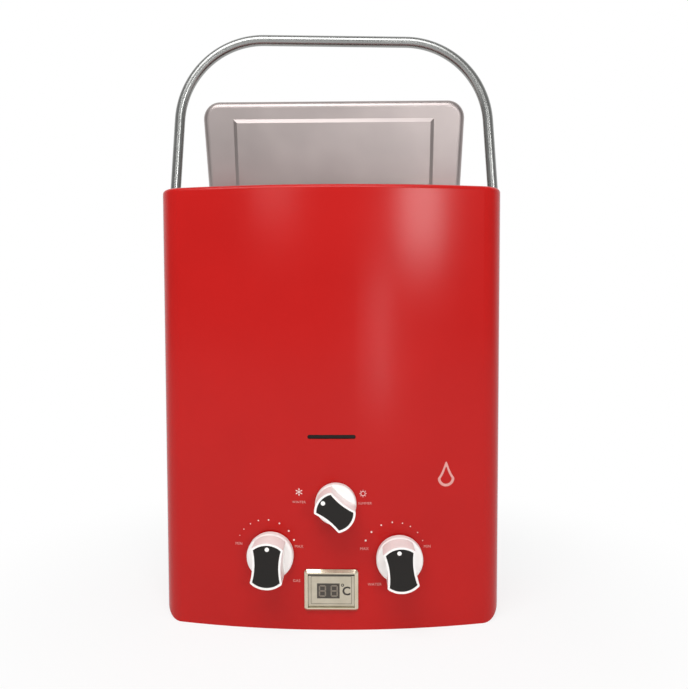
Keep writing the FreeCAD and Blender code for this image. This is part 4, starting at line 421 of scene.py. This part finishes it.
def bentRoute(corners, bends, step):  # straight runs joined by arcs of the given radii
    route = [corners[0]]
    for before, corner, after, bend in zip(corners, corners[1:], corners[2:], bends):
        inward, outward = (before - corner).normalized(), (after - corner).normalized()
        half = inward.angle(outward) / 2
        centre = corner + (inward + outward).normalized() * (bend / math.sin(half))
        first = corner + inward * (bend / math.tan(half)) - centre
        last = corner + outward * (bend / math.tan(half)) - centre
        turn = first.angle(last)
        count = max(2, math.ceil(math.degrees(turn) / step))
        for k in range(count + 1):
            share = k * turn / count
            route.append(centre + (first * math.sin(turn - share) + last * math.sin(share)) / math.sin(turn))
    return route + [corners[-1]]


def handleCorners():
    tube = handleTube
    lean = math.tan(math.radians(tube["lean"]))
    corners = []
    for side, top in ((-1, tube["bar"] + tube["skew"] / 2), (1, tube["bar"] - tube["skew"] / 2)):
        leg = [(tube["foot"], tube["start"]), (tube["side"], tube["knee"]),
               (tube["side"] - (top - tube["knee"]) * lean, top)]
        corners += [Vector((side * x, z)) for x, z in (leg if side < 0 else leg[::-1])]
    return corners


corners = handleCorners()
route = bentRoute(corners, [handleTube[key] for key in ("kneeBend", "topBend", "topBend", "kneeBend")],
                  handleTube["step"])
handleLow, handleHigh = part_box("carry_handle")
handleY = (handleLow.y + handleHigh.y) / 2
bm = bmesh.new()
rings = []
for k, point in enumerate(route):
    along = (route[min(k + 1, len(route) - 1)] - route[max(k - 1, 0)]).normalized()
    across = Vector((-along.y, along.x))
    ring = []
    for j in range(handleTube["sides"]):
        angle = j * tau / handleTube["sides"]
        flat = point + across * (handleTube["radius"] * math.cos(angle))
        depth = handleTube["radius"] * math.sin(angle)
        ring.append(bm.verts.new((flat.x * mm, handleY + depth * mm, flat.y * mm)))
    rings.append(ring)
for ring, following in zip(rings, rings[1:]):
    for j in range(handleTube["sides"]):
        bm.faces.new((ring[j - 1], ring[j], following[j], following[j - 1]))
mesh = meshFrom(bm, "handleSkin")
mesh.shade_smooth()
finishPiece("handleSkin", mesh, materials["chrome_rod"], "handle")
print("handle ready")

# Pipe threads: turned ridges round the plain ends of the three connections
threads = {
    "water_inlet_fitting": dict(radius=10.48, pitch=1.81),
    "hot_outlet_fitting": dict(radius=10.48, pitch=1.81),
    "gas_inlet_fitting": dict(radius=8.33, pitch=1.34),
}
ridge = dict(length=18, start=0.6, sunk=0.3, root=0.02, crest=0.55, sides=48)
for node, thread in threads.items():
    low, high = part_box(node)
    x, y = (low.x + high.x) / 2, (low.y + high.y) / 2
    bm = bmesh.new()
    pitch = thread["pitch"] * mm
    count = int(ridge["length"] * mm / pitch)
    start = low.z + ridge["start"] * mm
    inside, root, crest = (x + (thread["radius"] + rise) * mm for rise in
                           (-ridge["sunk"], ridge["root"], ridge["crest"]))
    outline = [(inside, start)]
    for k in range(count):
        outline += [(root, start + k * pitch), (crest, start + (k + 0.5) * pitch)]
    outline += [(root, start + count * pitch), (inside, start + count * pitch)]
    line = [bm.verts.new((across, y, z)) for across, z in outline]
    edges = [bm.edges.new(pair) for pair in zip(line, line[1:] + line[:1])]
    bmesh.ops.spin(bm, geom=line + edges, cent=(x, y, 0), axis=(0, 0, 1), angle=tau, steps=ridge["sides"],
                   use_merge=True)
    finishPiece(node + "Thread", meshFrom(bm, node), materials["brass"], "housing")
print("threads ready")


# Stage: a pale floor, a white surround and soft light
def makeFloor():
    settings = dict(size=8.0, tone="f4f4f4", near=0.16, far=0.45, nearGlow=0.8)
    material = bpy.data.materials.new("paleFloor")
    material.use_nodes = True
    tree = material.node_tree
    tree.nodes.clear()
    rays = addNode(tree, "ShaderNodeLightPath").outputs
    seen = addNode(tree, "ShaderNodeMath", {0: rays["Is Camera Ray"], 1: rays["Is Glossy Ray"]},
                   operation="MAXIMUM")
    seen = addNode(tree, "ShaderNodeMath", {0: seen.outputs[0], 1: rays["Is Transmission Ray"]},
                   operation="MAXIMUM")
    # close to the heater the floor takes its shadow, and farther out it goes over into pure white
    place = addNode(tree, "ShaderNodeTexCoord").outputs["Object"]
    reach = addNode(tree, "ShaderNodeVectorMath", {0: place}, operation="LENGTH").outputs["Value"]
    glow = addNode(tree, "ShaderNodeMapRange", {"Value": reach, "From Min": settings["near"],
                                                "From Max": settings["far"], "To Min": settings["nearGlow"],
                                                "To Max": 1.0}, interpolation_type="SMOOTHSTEP")
    share = addNode(tree, "ShaderNodeMath", {0: seen.outputs[0], 1: glow.outputs["Result"]},
                    operation="MULTIPLY")
    diffuse = addNode(tree, "ShaderNodeBsdfDiffuse", {"Color": toLinear(settings["tone"])})
    white = addNode(tree, "ShaderNodeEmission", {"Color": (1, 1, 1, 1), "Strength": 1.0})
    mix = addNode(tree, "ShaderNodeMixShader", {0: share.outputs[0], 1: diffuse.outputs[0],
                                                2: white.outputs[0]})
    addNode(tree, "ShaderNodeOutputMaterial", {"Surface": mix.outputs[0]})
    bm = bmesh.new()
    bmesh.ops.create_grid(bm, x_segments=1, y_segments=1, size=settings["size"] / 2)
    mesh = bpy.data.meshes.new("paleFloor")
    bm.to_mesh(mesh)
    bm.free()
    mesh.materials.append(material)
    floor = bpy.data.objects.new("paleFloor", mesh)
    bpy.context.scene.collection.objects.link(floor)


def makeWorld():
    settings = dict(ambient=0.45, roomBright="ffffff", roomDim="ababab", brightFrom=0.45, dimFrom=-0.3)
    world = bpy.data.worlds.new("studio")
    world.use_nodes = True
    tree = world.node_tree
    tree.nodes.clear()
    rays = addNode(tree, "ShaderNodeLightPath").outputs
    # mirrors see a white sweep behind the heater and a dimmer room behind the camera
    place = addNode(tree, "ShaderNodeTexCoord").outputs["Generated"]
    direction = addNode(tree, "ShaderNodeSeparateXYZ", {0: place})
    room = addNode(tree, "ShaderNodeMapRange", {"Value": direction.outputs["Y"],
                                                "From Min": settings["brightFrom"],
                                                "From Max": settings["dimFrom"]},
                   interpolation_type="SMOOTHSTEP")
    tone = addNode(tree, "ShaderNodeValToRGB", {"Fac": room.outputs["Result"]},
                   stops=[(0.0, settings["roomBright"]), (1.0, settings["roomDim"])])
    mirrored = addNode(tree, "ShaderNodeBackground", {"Color": tone.outputs["Color"], "Strength": 1.0})
    white = addNode(tree, "ShaderNodeBackground", {"Color": (1, 1, 1, 1), "Strength": 1.0})
    soft = addNode(tree, "ShaderNodeBackground", {"Color": (1, 1, 1, 1), "Strength": settings["ambient"]})
    sharp = addNode(tree, "ShaderNodeMath", {0: rays["Is Glossy Ray"], 1: rays["Is Transmission Ray"]},
                    operation="MAXIMUM")
    lit = addNode(tree, "ShaderNodeMixShader", {0: sharp.outputs[0], 1: soft.outputs[0],
                                                2: mirrored.outputs[0]})
    second = addNode(tree, "ShaderNodeMixShader", {0: rays["Is Camera Ray"], 1: lit.outputs[0],
                                                   2: white.outputs[0]})
    addNode(tree, "ShaderNodeOutputWorld", {"Surface": second.outputs[0]})
    bpy.context.scene.world = world


def aimed(position, target):
    return (Vector(target) - Vector(position)).to_track_quat("-Z", "Y")


lamps = {
    "windowLight": dict(at=(0.57, -1.42, 0.61), to=(0.07, -0.04, 0.33), size=(0.28, 0.32), power=3.8),
    "stripLight": dict(at=(0.29, -1.48, 0.2), to=(0.04, -0.04, 0.22), size=(0.05, 0.38), power=0.62),
    "smallWindow": dict(at=(-0.42, -1.44, 0.70), to=(-0.05, -0.04, 0.38), size=(0.26, 0.26), power=0.85),
    "topLight": dict(at=(-0.15, -0.72, 1.12), to=(0, 0, 0.3), size=(1.0, 0.6), power=9.4),
}


def makeLamps():
    for name, lamp in lamps.items():
        light = bpy.data.lights.new(name, "AREA")
        light.shape = "RECTANGLE"
        light.size, light.size_y = lamp["size"]
        light.energy = lamp["power"]
        holder = bpy.data.objects.new(name, light)
        holder.rotation_mode = "QUATERNION"
        holder.location = lamp["at"]
        holder.rotation_quaternion = aimed(lamp["at"], lamp["to"])
        holder.visible_camera = False
        bpy.context.scene.collection.objects.link(holder)


def makeCamera():
    # the focal length is in the photo's pixels, and the sensor spans the picture's longer side
    settings = dict(x=0.02105, z=0.26373, away=0.54, down=2.623, left=1.015, roll=-0.152, focal=659.75,
                    longSide=689, sensor=36, clip=(0.01, 50))
    camera = bpy.data.cameras.new("camera")
    camera.sensor_width = settings["sensor"]
    camera.lens = settings["focal"] * settings["sensor"] / settings["longSide"]
    camera.clip_start, camera.clip_end = settings["clip"]
    holder = bpy.data.objects.new("camera", camera)
    down, left, roll = (math.radians(settings[key]) for key in ("down", "left", "roll"))
    place = Matrix.Translation((settings["x"], cover["front"] - settings["away"], settings["z"]))
    turn = Matrix.Rotation(left, 4, "Z") @ Matrix.Rotation(tau / 4 - down, 4, "X")
    holder.matrix_world = place @ turn @ Matrix.Rotation(roll, 4, "Z")
    bpy.context.scene.collection.objects.link(holder)
    bpy.context.scene.camera = holder


makeFloor()
makeWorld()
makeLamps()
makeCamera()
bpy.context.scene.view_settings.view_transform = "Standard"
print("stage ready")
